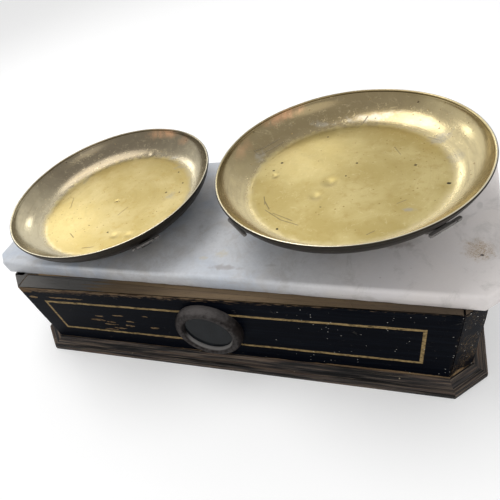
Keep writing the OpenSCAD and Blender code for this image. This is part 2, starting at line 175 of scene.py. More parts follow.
def roundedOutline(corners, radius, spacing):
    # straight sides joined by arcs that touch both sides; returns points, outward normals and the
    # distance along the side to the nearer corner
    corners = np.array(corners, float)
    ahead = np.roll(corners, -1, axis=0) - corners
    length = np.linalg.norm(ahead, axis=1)
    ahead /= length[:, None]
    before = np.roll(ahead, 1, axis=0)
    cross = before[:, 0] * ahead[:, 1] - before[:, 1] * ahead[:, 0]
    turn = np.arctan2(cross, (before * ahead).sum(axis=1))
    reach = radius * np.tan(np.abs(turn) / 2)
    points, normals, gaps = [], [], []
    for i in range(len(corners)):
        start = math.atan2(-before[i, 0], before[i, 1])
        angle = start + turn[i] * np.linspace(0, 1, 6)
        normal = np.stack([np.cos(angle), np.sin(angle)], axis=-1)
        side = np.sign(turn[i])
        centre = corners[i] - before[i] * reach[i] - side * radius * normal[0]
        points.append(centre + side * radius * normal)
        normals.append(normal)
        gaps.append(np.zeros(6))
        j = (i + 1) % len(corners)
        run = length[i] - reach[i] - reach[j]
        n = max(4, int(run / spacing))
        s = run * (0.5 - 0.5 * np.cos(np.pi * np.arange(1, n) / n))   # close together near the corners
        points.append(corners[i] + ahead[i] * (reach[i] + s[:, None]))
        normals.append(np.repeat([[ahead[i, 1], -ahead[i, 0]]], n - 1, axis=0))
        gaps.append(np.minimum(s, run - s))
    return np.concatenate(points), np.concatenate(normals), np.concatenate(gaps)


def prismShell(corners, low, high, planRadius, arris, spacing=8, dents=0.0, lowArris=None, seed=1):
    # an upright block over a rounded outline: quarter-round edges below and above, and dents
    # pressed in near its edges
    outline, normals, gap = roundedOutline(corners, planRadius, spacing)
    lowArris = arris if lowArris is None else lowArris
    a = np.linspace(0, np.pi / 2, 6)
    n = max(5, int((high - low) / spacing))
    share = 0.5 - 0.5 * np.cos(np.pi * np.arange(1, n) / n)
    rise = low + lowArris + (high - low - arris - lowArris) * share
    height = np.concatenate([low + lowArris * (1 - np.cos(a)), rise, high - arris * (1 - np.sin(a))])
    inset = np.concatenate([lowArris * (1 - np.sin(a)), np.zeros(n - 1), arris * (1 - np.cos(a))])
    grid = np.zeros((len(height), len(outline), 3))
    grid[..., :2] = outline - normals * inset[:, None, None]
    grid[..., 2] = height[:, None]
    edge = np.minimum(gap, np.minimum(height - low - lowArris, high - arris - height).clip(0)[:, None])
    if dents:
        rough = latticeNoise(grid, 5.0, seed) + 0.5 * latticeNoise(grid, 1.7, seed + 1)
        press = dents * np.clip(rough - 0.1, 0, 1) * np.exp(-edge / 1.2)
        grid[..., :2] -= normals * press[..., None]
    return {"grid": grid, "edgeGap": edge, "capped": True}


# shader helpers

def addNode(tree, kind, inputs=None, **options):
    node = tree.nodes.new(kind)
    for key, value in options.items():
        setattr(node, key, value)
    for key, value in (inputs or {}).items():
        if isinstance(value, bpy.types.NodeSocket):
            tree.links.new(value, node.inputs[key])
        else:
            node.inputs[key].default_value = value
    return node


def linkedNode(kind, inputs, **options):
    # a node in the same tree as the first socket that feeds it
    tree = next(value.id_data for value in inputs.values() if isinstance(value, bpy.types.NodeSocket))
    return addNode(tree, kind, inputs, **options)


def calc(operation, a, b=0.0, clamp=False):
    return linkedNode("ShaderNodeMath", {0: a, 1: b}, operation=operation, use_clamp=clamp).outputs[0]


def times(a, b):
    return calc("MULTIPLY", a, b)


def plus(a, b):
    return calc("ADD", a, b)


def minus(a, b):
    return calc("SUBTRACT", a, b)


def vectorCalc(operation, a, b=(0, 0, 0)):
    node = linkedNode("ShaderNodeVectorMath", {0: a, 1: b}, operation=operation)
    return node.outputs["Value" if operation in ("LENGTH", "DOT_PRODUCT") else "Vector"]


def joined(x, y, z):
    return linkedNode("ShaderNodeCombineXYZ", {0: x, 1: y, 2: z}).outputs[0]


def farFrom(vector, place):
    return vectorCalc("LENGTH", vectorCalc("SUBTRACT", vector, place))


def scaled(vector, amount):
    node = linkedNode("ShaderNodeVectorMath", {0: vector, "Scale": amount}, operation="SCALE")
    return node.outputs["Vector"]


def stretched(vector, factors):
    return vectorCalc("MULTIPLY", vector, factors)


def ranged(value, low, high, outLow=0.0, outHigh=1.0):
    # a smooth step from one value to another
    node = linkedNode("ShaderNodeMapRange", {"Value": value, "From Min": low, "From Max": high,
        "To Min": outLow, "To Max": outHigh}, interpolation_type="SMOOTHSTEP")
    return node.outputs["Result"]


def mixed(mask, a, b):
    a = a if isinstance(a, bpy.types.NodeSocket) else (*a, 1)
    b = b if isinstance(b, bpy.types.NodeSocket) else (*b, 1)
    return linkedNode("ShaderNodeMix", {0: mask, 6: a, 7: b}, data_type="RGBA").outputs[2]


def blended(mask, a, b):
    return linkedNode("ShaderNodeMix", {0: mask, 2: a, 3: b}, data_type="FLOAT").outputs[0]


def noise(vector, scale, detail=3.0, rough=0.55, warp=0.0):
    return linkedNode("ShaderNodeTexNoise", {"Vector": vector, "Scale": scale, "Detail": detail,
        "Roughness": rough, "Distortion": warp}).outputs[0]


def pointFrom(tree, centre=(0, 0, 0)):
    # millimetres from a point of the model
    here = addNode(tree, "ShaderNodeTexCoord").outputs["Object"]
    return vectorCalc("SUBTRACT", scaled(here, 1000.0), centre)


def attribute(tree, name):
    node = addNode(tree, "ShaderNodeAttribute", attribute_name=name, attribute_type="GEOMETRY")
    return node.outputs["Fac"]


def pieceOf(vector, axis):
    return linkedNode("ShaderNodeSeparateXYZ", {0: vector}).outputs[axis]


def highest(values):
    total = values[0]
    for value in values[1:]:
        total = calc("MAXIMUM", total, value)
    return total


def bumped(height, distance):
    return linkedNode("ShaderNodeBump", {"Height": height, "Distance": distance}).outputs["Normal"]


def newMaterial(name, metallic=0.0, shine=0.5):
    material = bpy.data.materials.new(name)
    material.use_nodes = True
    shader = material.node_tree.nodes["Principled BSDF"]
    shader.inputs["Metallic"].default_value = metallic
    shader.inputs["Specular IOR Level"].default_value = shine
    return material, material.node_tree, shader


def finishMaterial(shader, colour, roughness, height, distance):
    links = shader.id_data.links
    links.new(colour, shader.inputs["Base Color"])
    links.new(roughness, shader.inputs["Roughness"])
    links.new(bumped(height, distance), shader.inputs["Normal"])


# shared effects

def newGroup(name, inputs, outputs=("Mask",)):
    # an empty effect with the named inputs after its Vector
    group = bpy.data.node_groups.new(name, "ShaderNodeTree")
    for key, value in {"Vector": (0.0, 0.0, 0.0), **inputs}.items():
        kind = "NodeSocketVector" if isinstance(value, tuple) else "NodeSocketFloat"
        group.interface.new_socket(name=key, in_out="INPUT", socket_type=kind).default_value = value
    for key in outputs:
        group.interface.new_socket(name=key, in_out="OUTPUT", socket_type="NodeSocketFloat")
    return group, addNode(group, "NodeGroupInput").outputs, addNode(group, "NodeGroupOutput").inputs


def effect(group, output="Mask", **inputs):
    return linkedNode("ShaderNodeGroup", inputs, node_tree=group).outputs[output]


def makeEdgeWear():
    # 1 where noise outweighs the distance from the edge, measured in reaches
    group, given, out = newGroup("edgeWear", {"Gap": 50.0, "Reach": 3.0, "Size": 4.0, "Share": 0.5})
    near = calc("DIVIDE", given["Gap"], given["Reach"])
    patch = noise(given["Vector"], calc("DIVIDE", 1.0, given["Size"]), 6.0, 0.65)
    level = minus(plus(given["Share"], times(minus(patch, 0.5), 3.0)), near)
    group.links.new(ranged(level, -0.08, 0.12), out["Mask"])
    return group


def makeGrain():
    # long fibres: fine noise drawn out along the first axis, over slow bands that are bent by a
    # coarser noise
    group, given, out = newGroup("woodGrain", {"Length": 60.0, "Width": 1.2}, ("Mask", "Height"))
    along = calc("DIVIDE", 1.0, given["Length"])
    thin = calc("DIVIDE", 1.0, given["Width"])
    path = vectorCalc("MULTIPLY", given["Vector"], joined(along, thin, thin))
    fibre = noise(path, 1.0, 6.0, 0.65, 0.4)
    band = noise(path, 0.22, 3.0, 0.5, 0.8)
    both = plus(times(fibre, 0.6), times(band, 0.4))
    group.links.new(ranged(both, 0.36, 0.64), out["Mask"])
    group.links.new(fibre, out["Height"])
    return group


def makePits():
    # round marks in some cells of a random cell pattern
    group, given, out = newGroup("pits", {"Spacing": 5.0, "Size": 0.2, "Share": 0.4})
    scale = calc("DIVIDE", 1.0, given["Spacing"])
    cells = linkedNode("ShaderNodeTexVoronoi", {"Vector": given["Vector"], "Scale": scale})
    chance = pieceOf(cells.outputs["Color"], 0)
    own = times(given["Size"], plus(0.35, pieceOf(cells.outputs["Color"], 1)))
    ragged = times(minus(noise(given["Vector"], 0.9, 3.0), 0.5), 0.12)
    ragged = plus(cells.outputs["Distance"], ragged)
    inside = ranged(calc("DIVIDE", ragged, own), 0.6, 1.0, 1.0, 0.0)
    group.links.new(times(inside, calc("LESS_THAN", chance, given["Share"])), out["Mask"])
    return group


def makeScratches():
    # thin lines where a noise drawn out one way crosses its middle value, broken up by a second noise
    group, given, out = newGroup("scratches", {"Length": 30.0, "Gap": 3.0, "Width": 0.03, "Share": 0.5})
    along, apart = (calc("DIVIDE", 1.0, given[key]) for key in ("Length", "Gap"))
    scale = joined(along, apart, apart)
    masks = []
    for turn, shift in ((0.35, 3.0), (-0.6, 21.0), (1.3, 47.0)):
        turned = {"Vector": given["Vector"], "Rotation": (0.2, turn, turn), "Location": (shift, 0, shift)}
        path = linkedNode("ShaderNodeMapping", turned).outputs[0]
        path = vectorCalc("MULTIPLY", path, scale)
        line = calc("ABSOLUTE", minus(noise(path, 1.0, 1.0, 0.4, 0.3), 0.5))
        low, high = minus(1.0, given["Share"]), minus(1.08, given["Share"])
        kept = ranged(noise(path, 0.5, 2.0), low, high)
        thin = ranged(calc("DIVIDE", line, given["Width"]), 0.3, 1.0, 1.0, 0.0)
        masks.append(times(thin, kept))
    group.links.new(highest(masks), out["Mask"])
    return group


def makeSpot():
    # 1 inside an ellipsoid whose edge a noise makes ragged
    inputs = {"Centre": (0.0, 0.0, 0.0), "Radii": (5.0, 5.0, 5.0), "Ragged": 0.5, "Soft": 0.3, "Grain": 0.4}
    group, given, out = newGroup("spot", inputs)
    away = vectorCalc("SUBTRACT", given["Vector"], given["Centre"])
    away = vectorCalc("LENGTH", vectorCalc("DIVIDE", away, given["Radii"]))
    ragged = minus(noise(given["Vector"], given["Grain"], 5.0, 0.65), 0.5)
    ragged = times(ragged, given["Ragged"])
    level = plus(away, times(ragged, 2.0))
    group.links.new(ranged(level, minus(1.0, given["Soft"]), 1.0, 1.0, 0.0), out["Mask"])
    return group


def makeLineMark():
    # 1 within a width of the straight way from one point to another
    group, given, out = newGroup("lineMark", {"From": (0.0, 0.0, 0.0), "To": (1.0, 0.0, 0.0), "Width": 0.5})
    way = vectorCalc("SUBTRACT", given["To"], given["From"])
    here = vectorCalc("SUBTRACT", given["Vector"], given["From"])
    shadow, whole = (vectorCalc("DOT_PRODUCT", vector, way) for vector in (here, way))
    share = calc("DIVIDE", shadow, whole, clamp=True)
    off = vectorCalc("SUBTRACT", here, scaled(way, share))
    wander = times(minus(noise(given["Vector"], 0.35, 4.0), 0.5), given["Width"])
    level = plus(vectorCalc("LENGTH", off), wander)
    level = calc("DIVIDE", level, given["Width"])
    group.links.new(ranged(level, 0.5, 1.1, 1.0, 0.0), out["Mask"])
    return group


edgeWear, woodGrain, pitMarks = makeEdgeWear(), makeGrain(), makePits()
scratchMarks, spotMark, lineMark = makeScratches(), makeSpot(), makeLineMark()
print("shared effects built")


def spots(point, rows, **common):
    # the strongest of several spots, each given by its place and its half sizes
    return highest([effect(spotMark, Vector=point, Centre=place, Radii=size, **common)
        for place, size in rows])


def lines(point, rows, width):
    return highest([effect(lineMark, Vector=point, From=start, To=end, Width=width)
        for start, end in rows])


# case

case = {
    "halfX": 217.5, "halfY": 94.5, "low": 11.0, "high": 93.0, "cut": 17.5,
    "board": 18.0, "end": 12.0, "postReach": 14.0,
    "edge": 0.9, "dents": 0.9,
    "windowZ": 53.0, "windowHole": 20.0, "holeReach": 30.0,
    "lineHalf": 177.3, "lineLow": 30.2, "lineHigh": 73.4, "lineWidth": 1.35,
    "black": (0.0008, 0.0014, 0.0034), "blackWorn": (0.0036, 0.0052, 0.0088),
    "brown": (0.085, 0.052, 0.030), "tan": (0.31, 0.215, 0.115), "gold": (0.36, 0.255, 0.115),
    "topWorn": (0.21, 0.145, 0.085), "scratch": (0.07, 0.065, 0.06), "fleck": (0.62, 0.60, 0.55),
    "dust": (0.085, 0.08, 0.075),
    "ledgeGrey": (0.13, 0.126, 0.12), "ledgeBrown": (0.14, 0.102, 0.068), "ledgeLight": (0.19, 0.135, 0.08),
    "ledgeDark": (0.075, 0.06, 0.048), "ledgeFibre": (0.08, 0.06, 0.045),
    # bare wood on the front: place and half sizes
    "bareStreaks": [
        ((-124.7, -94.5, 48.3), (9, 4, 1.6)), ((-110.8, -94.5, 46.7), (6, 4, 1.2)),
        ((-91.3, -94.5, 42.6), (6, 4, 1.4)), ((-106.1, -94.5, 37.1), (9, 4, 1.3)),
        ((-62.1, -94.5, 43.3), (5, 4, 1.6)), ((-65.7, -94.5, 60.4), (4, 4, 1.0)),
        ((-194.0, -94.5, 88.0), (8, 4, 2.6)), ((-190.0, -94.5, 79.0), (5, 4, 2.0)),
        ((-60.0, -94.5, 29.0), (26, 4, 0.8)), ((-150.0, -94.5, 80.0), (22, 4, 1.0)),
        ((-114.0, -94.5, 42.5), (8, 4, 0.9)), ((-86.0, -94.5, 50.0), (6, 4, 0.9)),
        ((-98.0, -94.5, 58.5), (7, 4, 0.9)), ((-118.0, -94.5, 34.0), (8, 4, 1.0)),
        ((-121.0, -94.5, 55.0), (6, 4, 0.8)),
    ],
    "streakSqueeze": 0.35,
    "footWear": [((150.0, -94.5, 12.0), (62, 4, 1.8)), ((205.0, -87.0, 13.0), (8, 8, 4.0))],
}


def goldLine(point):
    # a thin band round a rectangle on the front, worn through in streaks
    x, y, z = (pieceOf(point, axis) for axis in (0, 1, 2))
    midZ, halfZ = (case["lineLow"] + case["lineHigh"]) / 2, (case["lineHigh"] - case["lineLow"]) / 2
    wobble = times(minus(noise(point, 0.06, 2.0), 0.5), 1.2)
    offX = minus(calc("ABSOLUTE", x), case["lineHalf"])
    offZ = minus(calc("ABSOLUTE", minus(plus(z, wobble), midZ)), halfZ)
    off = calc("ABSOLUTE", calc("MAXIMUM", offX, offZ))
    front = calc("LESS_THAN", y, -case["halfY"] + 0.5)
    line = times(ranged(off, case["lineWidth"] - 0.25, case["lineWidth"] + 0.15, 1.0, 0.0), front)
    rubbed = ranged(noise(stretched(point, (0.2, 1, 0.9)), 1.0, 5.0, 0.75), 0.38, 0.56)
    return times(line, plus(0.2, times(rubbed, 0.72)))


def bareStreaks(point):
    # the named streaks, laid in a squeezed space so that their ragged ends are drawn out along the board
    squeeze = case["streakSqueeze"]
    rows = [((place[0] * squeeze, *place[1:]), (size[0] * squeeze, *size[1:]))
        for place, size in case["bareStreaks"]]
    streaks = spots(stretched(point, (squeeze, 1, 1)), rows, Ragged=1.25, Soft=0.1, Grain=0.5)
    broken = noise(stretched(point, (0.16, 0.5, 1.6)), 1.0, 5.0, 0.65)
    return times(streaks, ranged(broken, 0.40, 0.47))


def crackleMarks(point):
    # the gaps between bent cells at the right end, strongest near its foot
    bend = linkedNode("ShaderNodeTexNoise", {"Vector": point, "Scale": 0.2}).outputs["Color"]
    bent = vectorCalc("ADD", point, scaled(bend, 5.0))
    cells = linkedNode("ShaderNodeTexVoronoi", {"Vector": bent, "Scale": 0.3}, feature="DISTANCE_TO_EDGE")
    crackle = ranged(cells.outputs["Distance"], 0.012, 0.045, 1.0, 0.0)
    crackle = times(crackle, ranged(noise(point, 0.07, 4.0), 0.38, 0.52))
    crackle = times(crackle, ranged(pieceOf(point, 2), 15.0, 84.0, 1.0, 0.25))
    return times(crackle, ranged(pieceOf(point, 0), 197.0, 205.0, 0.0, 1.0))


def ledgeColour(point, brush, grain, fibre):
    # grey paint at the left, rubbed down to the wood to the right, and dark at the right end
    x = pieceOf(point, 0)
    share = plus(calc("DIVIDE", plus(x, 105.0), 30.0), times(minus(brush, 0.5), 5.0))
    wood = mixed(grain, case["ledgeBrown"], case["ledgeLight"])
    ledge = mixed(ranged(share, -0.5, 0.5), case["ledgeGrey"], wood)
    ledge = mixed(ranged(plus(x, times(brush, 60.0)), 130.0, 215.0, 0.0, 0.75), ledge, case["ledgeDark"])
    return mixed(times(ranged(fibre, 0.5, 0.7), 0.4), ledge, case["ledgeFibre"])


def makeBlackPaint():
    material, tree, shader = newMaterial("blackPaint", shine=0.02)
    point = pointFrom(tree)
    x, z = pieceOf(point, 0), pieceOf(point, 2)
    normal = addNode(tree, "ShaderNodeNewGeometry").outputs["Normal"]
    grain = effect(woodGrain, Vector=point, Length=45.0, Width=1.3)
    fibre = effect(woodGrain, "Height", Vector=point, Length=30.0, Width=0.8)
    # paint: near black, with dull worn streaks along the boards
    brush = noise(stretched(point, (0.02, 0.5, 0.5)), 1.0, 4.0)
    colour = mixed(ranged(brush, 0.42, 0.75), case["black"], case["blackWorn"])
    colour = mixed(goldLine(point), colour, case["gold"])
    scratches = effect(scratchMarks, Vector=point, Length=26.0, Gap=3.2, Width=0.03, Share=0.36)
    colour = mixed(times(scratches, 0.4), colour, case["scratch"])
    # wear along the top edge, wider towards the left
    topGap = minus(case["high"], z)
    path = stretched(point, (0.16, 0.4, 1.4))
    toLeft = plus(0.1, times(x, -0.0021))
    topWorn = effect(edgeWear, Gap=topGap, Vector=path, Reach=9.5, Size=1.3, Share=toLeft)
    topWood = mixed(ranged(fibre, 0.42, 0.62), case["brown"], case["topWorn"])
    colour = mixed(times(topWorn, 0.85), colour, topWood)
    # bare wood: the edges, the named streaks, the foot of the boards and the crackle
    gap, path = attribute(tree, "edgeGap"), stretched(point, (0.5, 0.5, 1.0))
    worn = effect(edgeWear, Gap=gap, Vector=path, Reach=1.8, Size=1.3, Share=-0.35)
    foot = spots(point, case["footWear"], Ragged=0.6, Soft=0.25, Grain=0.15)
    bare = highest([worn, bareStreaks(point), foot, crackleMarks(point)])
    colour = mixed(bare, colour, mixed(grain, case["brown"], case["tan"]))
    # small flecks crowd towards the right end, and are rare on the end faces
    sideways = ranged(calc("ABSOLUTE", pieceOf(normal, 0)), 0.85, 0.97)
    crowd = ranged(noise(point, 0.035, 3.0), 0.46, 0.6, 0.04, 0.7)
    crowd = times(crowd, minus(1.0, times(sideways, 0.85)))
    crowd = times(ranged(x, 10.0, 120.0, 0.0, 1.0), crowd)
    path = stretched(point, (0.8, 1, 1.3))
    flecks = effect(pitMarks, Vector=path, Spacing=3.0, Size=0.16, Share=crowd)
    colour = mixed(flecks, colour, case["fleck"])
    # the end faces are dusty grey over the black
    wide = noise(point, 0.035, 5.0, 0.6)
    close = noise(stretched(point, (1, 0.25, 1.2)), 0.8, 4.0, 0.65)
    film = plus(times(wide, 0.6), times(close, 0.4))
    dusty = times(sideways, ranged(film, 0.38, 0.66, 0.08, 0.6))
    colour = mixed(dusty, colour, case["dust"])
    # what faces up is the ledge in front of the slab
    up = ranged(pieceOf(normal, 2), 0.75, 0.95)
    colour = mixed(up, colour, ledgeColour(point, brush, grain, fibre))
    rough = plus(0.33, times(brush, 0.2))
    rough = blended(calc("MAXIMUM", bare, up), rough, 0.75)
    sunk = highest([bare, scratches, flecks])
    height = minus(times(fibre, 0.25), times(sunk, 0.5))
    finishMaterial(shader, colour, rough, height, 0.0004)
    return material


blackPaint = makeBlackPaint()


def boardCorners(side):
    # plan of the front (-1) or back (1) board
    x = case["halfX"] - case["cut"]
    outer, inner = side * case["halfY"], side * (case["halfY"] - case["board"])
    low, high = min(outer, inner), max(outer, inner)
    return [(-x, low), (x, low), (x, high), (-x, high)]


def endCorners(side):
    # plan of the left (-1) or right (1) end board
    y = case["halfY"] - case["cut"]
    outer, inner = side * case["halfX"], side * (case["halfX"] - case["end"])
    low, high = min(outer, inner), max(outer, inner)
    return [(low, -y), (high, -y), (high, y), (low, y)]


def postCorners(sideX, sideY):
    # the canted post: its plan for the back right corner, turned to the corner that is asked for
    hx, hy, c = case["halfX"], case["halfY"], case["cut"]
    ix, iy, reach = hx - case["end"], hy - case["board"], case["postReach"]
    plan = [(hx - c, hy), (hx - c, iy), (hx - c - reach, iy), (hx - c - reach, hy - c - reach),
        (ix, hy - c - reach), (ix, hy - c), (hx, hy - c)]
    plan = [(sideX * x, sideY * y) for x, y in plan]
    return plan if sideX * sideY > 0 else plan[::-1]


def blockShell(corners, seed):
    return prismShell(corners, case["low"], case["high"], planRadius=0.5, arris=case["edge"], spacing=9,
        dents=case["dents"], lowArris=0.4, seed=seed)


def placeBoard(name, mesh, replaced):
    placePiece(name, mesh, "case", [replaced], blackPaint)


def cylinder(radius, low, high, turns):
    return revolved(np.array([(0.0, low), (radius, low), (radius, high), (0.0, high)]), turns)


# the window's hole runs from front to back, so the upright cylinder is laid down
hole = cylinder(case["windowHole"], -case["holeReach"], case["holeReach"], 96)
hole = np.stack([hole[..., 0], hole[..., 2] - case["halfY"], hole[..., 1] + case["windowZ"]], axis=-1)
frontMesh = surfaceMesh("front_board_painted", [blockShell(boardCorners(-1), 3)])
frontMesh = drilled(frontMesh, [surfaceMesh("windowCut", [{"grid": hole}])])
placeBoard("front_board_painted", frontMesh, "front_board")
backMesh = surfaceMesh("back_board_painted", [blockShell(boardCorners(1), 5)])
placeBoard("back_board_painted", backMesh, "back_board")
for side, name in ((-1, "left_end"), (1, "right_end")):
    endMesh = surfaceMesh(name, [blockShell(endCorners(side), 7 + side)])
    placeBoard(name + "_painted", endMesh, name + "_board")
posts = [blockShell(postCorners(sx, sy), 11 + sx + 3 * sy) for sx in (-1, 1) for sy in (-1, 1)]
placeBoard("corner_posts_painted", surfaceMesh("corner_posts_painted", posts), "corner_posts")
print("case boards made")


# plinth moulding

plinth = {
    "out": 12.0, "high": 11.0, "footHigh": 3.3, "beadOut": 9.7, "beadZ": 5.1, "beadRadius": 1.4,
    "hollowOut": 8.0, "hollowHigh": 4.8, "lipOut": 1.2, "mitre": 22.5, "wave": 0.22,
    "grey": (0.055, 0.053, 0.054), "brown": (0.105, 0.062, 0.040), "dust": (0.19, 0.15, 0.115),
    "dark": (0.010, 0.0095, 0.0095), "fleck": (0.34, 0.28, 0.2),
}


def makePlinthPaint():
    material, tree, shader = newMaterial("plinthPaint", shine=0.12)
    point = pointFrom(tree)
    along, across = attribute(tree, "along"), attribute(tree, "across")
    path = joined(along, across, 0.0)
    grain = effect(woodGrain, Vector=path, Length=95.0, Width=1.5)
    fibre = effect(woodGrain, "Height", Vector=path, Length=60.0, Width=0.7)
    patch = noise(stretched(path, (0.012, 0.25, 1)), 1.0, 5.0, 0.6)
    colour = mixed(ranged(patch, 0.38, 0.62), plinth["dark"], plinth["grey"])
    colour = mixed(times(grain, ranged(patch, 0.45, 0.62)), colour, plinth["brown"])
    dusty = ranged(plus(fibre, times(patch, 0.4)), 0.70, 0.86)
    colour = mixed(dusty, colour, plinth["dust"])
    flecks = effect(pitMarks, Vector=point, Spacing=6.0, Size=0.13, Share=0.14)
    colour = mixed(flecks, colour, plinth["fleck"])
    rough = ranged(patch, 0.3, 0.7, 0.5, 0.75)
    height = plus(fibre, times(flecks, -0.5))
    finishMaterial(shader, colour, rough, height, 0.0006)
    return material


plinthPaint = makePlinthPaint()


def plinthSection():
    # a foot, a bead and a hollow: out from the wall, then up
    bead = np.radians(np.linspace(-90, 90, 14))
    hollow = np.radians(np.linspace(0, 90, 16))
    out, high, footHigh, radius = plinth["out"], plinth["high"], plinth["footHigh"], plinth["beadRadius"]
    foot = filledPath([(0, 0), (out, 0), (out, footHigh), (out - 0.9, footHigh + 0.4)], 1.6)
    beadX, beadZ = plinth["beadOut"] + radius * np.cos(bead), plinth["beadZ"] + radius * np.sin(bead)
    hollowX = plinth["lipOut"] + plinth["hollowOut"] * (1 - np.sin(hollow))
    hollowZ = high - plinth["hollowHigh"] * np.cos(hollow)
    bead, hollow = np.stack([beadX, beadZ], axis=-1), np.stack([hollowX, hollowZ], axis=-1)
    return np.concatenate([foot, bead, hollow, filledPath([(0, high), (0, 2.4)], 2.4)])


def plinthShell(run, degrees, shift, start):
    # the section carried along one side, with its ends slid out along the mitre
    section = plinthSection()
    n = max(6, int(run / 3))
    t = np.linspace(-1, 1, n)[:, None]
    out, high = section[:, 0], section[:, 1]
    grid = np.zeros((n, len(section), 3))
    grid[..., 0] = t * (run + out * math.tan(math.radians(plinth["mitre"])))
    grid[..., 1] = -out
    grid[..., 2] = high
    step = np.linalg.norm(np.diff(section, axis=0, prepend=section[:1]), axis=1)
    grid = turnedPoints(grid, degrees, shift)
    # uneven wear: coarse and fine noise, fading out towards the wall and the ground
    press = plinth["wave"] * (latticeNoise(grid, 6.0, 21) + 0.5 * latticeNoise(grid, 2.1, 22))
    press = press * smoothRise(1.5, 4.0, out) * smoothRise(0.2, 1.2, high)
    outward = turnedPoints(np.array([[0.0, -1.0, 0.0]]), degrees, (0, 0, 0))[0]
    grid = grid - outward * np.clip(press + 0.05, 0, 1)[..., None]
    return {"grid": grid, "capped": True, "along": start + t * run, "across": np.cumsum(step)}


halfX, halfY, cut = case["halfX"], case["halfY"], case["cut"]
corners = [(1, -1, 45), (1, 1, 135), (-1, 1, 225), (-1, -1, 315)]
# each strip: half its length, its turn, its middle, and where its wood grain starts
strips = {
    "plinth_front": [(halfX - cut, 0, (0, -halfY, 0), 0)],
    "plinth_back": [(halfX - cut, 180, (0, halfY, 0), 1000)],
    "plinth_left": [(halfY - cut, -90, (-halfX, 0, 0), 2000)],
    "plinth_right": [(halfY - cut, 90, (halfX, 0, 0), 3000)],
    "plinth_corners": [(cut / math.sqrt(2), degrees, (sx * (halfX - cut / 2), sy * (halfY - cut / 2), 0),
        4000 + 100 * degrees) for sx, sy, degrees in corners],
}
for name, rows in strips.items():
    mesh = surfaceMesh(name, [plinthShell(*row) for row in rows])
    placePiece(name + "_moulding", mesh, "case", [name], plinthPaint, 50)
print("plinth made")


# marble slab

slab = {
    "halfX": 231.5, "halfY": 84.5, "low": 93.0, "high": 107.0, "cut": 12.0,
    "turn": -1.9, "shift": (-3.8, 3.0, 0.0),
    "arris": 3.0, "lowArris": 0.8, "planRadius": 3.2, "dents": 0.5,
    "holeRadius": 10.05, "armLength": 113.0, "holeOver": 13.0,
    "white": (0.66, 0.67, 0.69), "cool": (0.50, 0.555, 0.64), "warm": (0.60, 0.565, 0.52),
    "vein": (0.42, 0.45, 0.50), "grain": (0.48, 0.48, 0.49), "dapple": (0.46, 0.47, 0.49),
    # the first colour on the next line is a warm tone made pale as painted light
    "litWarmRight": (0.83, 0.765, 0.73), "scuff": (0.47, 0.445, 0.42), "pit": (0.35, 0.33, 0.30),
    "lowEdgeDark": (0.42, 0.40, 0.38),
    "rust": (0.40, 0.27, 0.14), "rustSpots": [((209, -44, 107), (13, 15, 4))],
    # each stain: colour, strength, how ragged, how soft, fineness of its noise, and places with half sizes
    "stains": [
        # the first, brown, is painted shade where it lies under the right pan, with a second patch near the
        # front
        ((0.24, 0.185, 0.155), 0.45, 1.0, 0.8, 0.15, [
            ((154, -40, 107), (15, 6, 4)), ((20, -70, 107), (20, 4, 4)),
        ]),
        ((0.06, 0.045, 0.04), 1.0, 0.5, 0.4, 0.8, [((210.8, -49.4, 107), (1.5, 1.1, 2))]),
        ((0.36, 0.35, 0.33), 0.3, 0.9, 0.6, 0.25, [
            ((212.8, 5.8, 107), (3, 6, 3)), ((205.0, 12.0, 107), (5, 2, 3)), ((-206, -66, 107), (10, 3, 3)),
            ((60, -66, 107), (7, 2, 3)), ((-18, -20, 107), (3, 5, 3)),
        ]),
        ((0.60, 0.54, 0.40), 0.55, 0.9, 0.9, 0.3, [
            ((14, -54, 107), (8, 6, 4)), ((-2, -60, 107), (6, 3, 4)),
        ]),
    ],
}


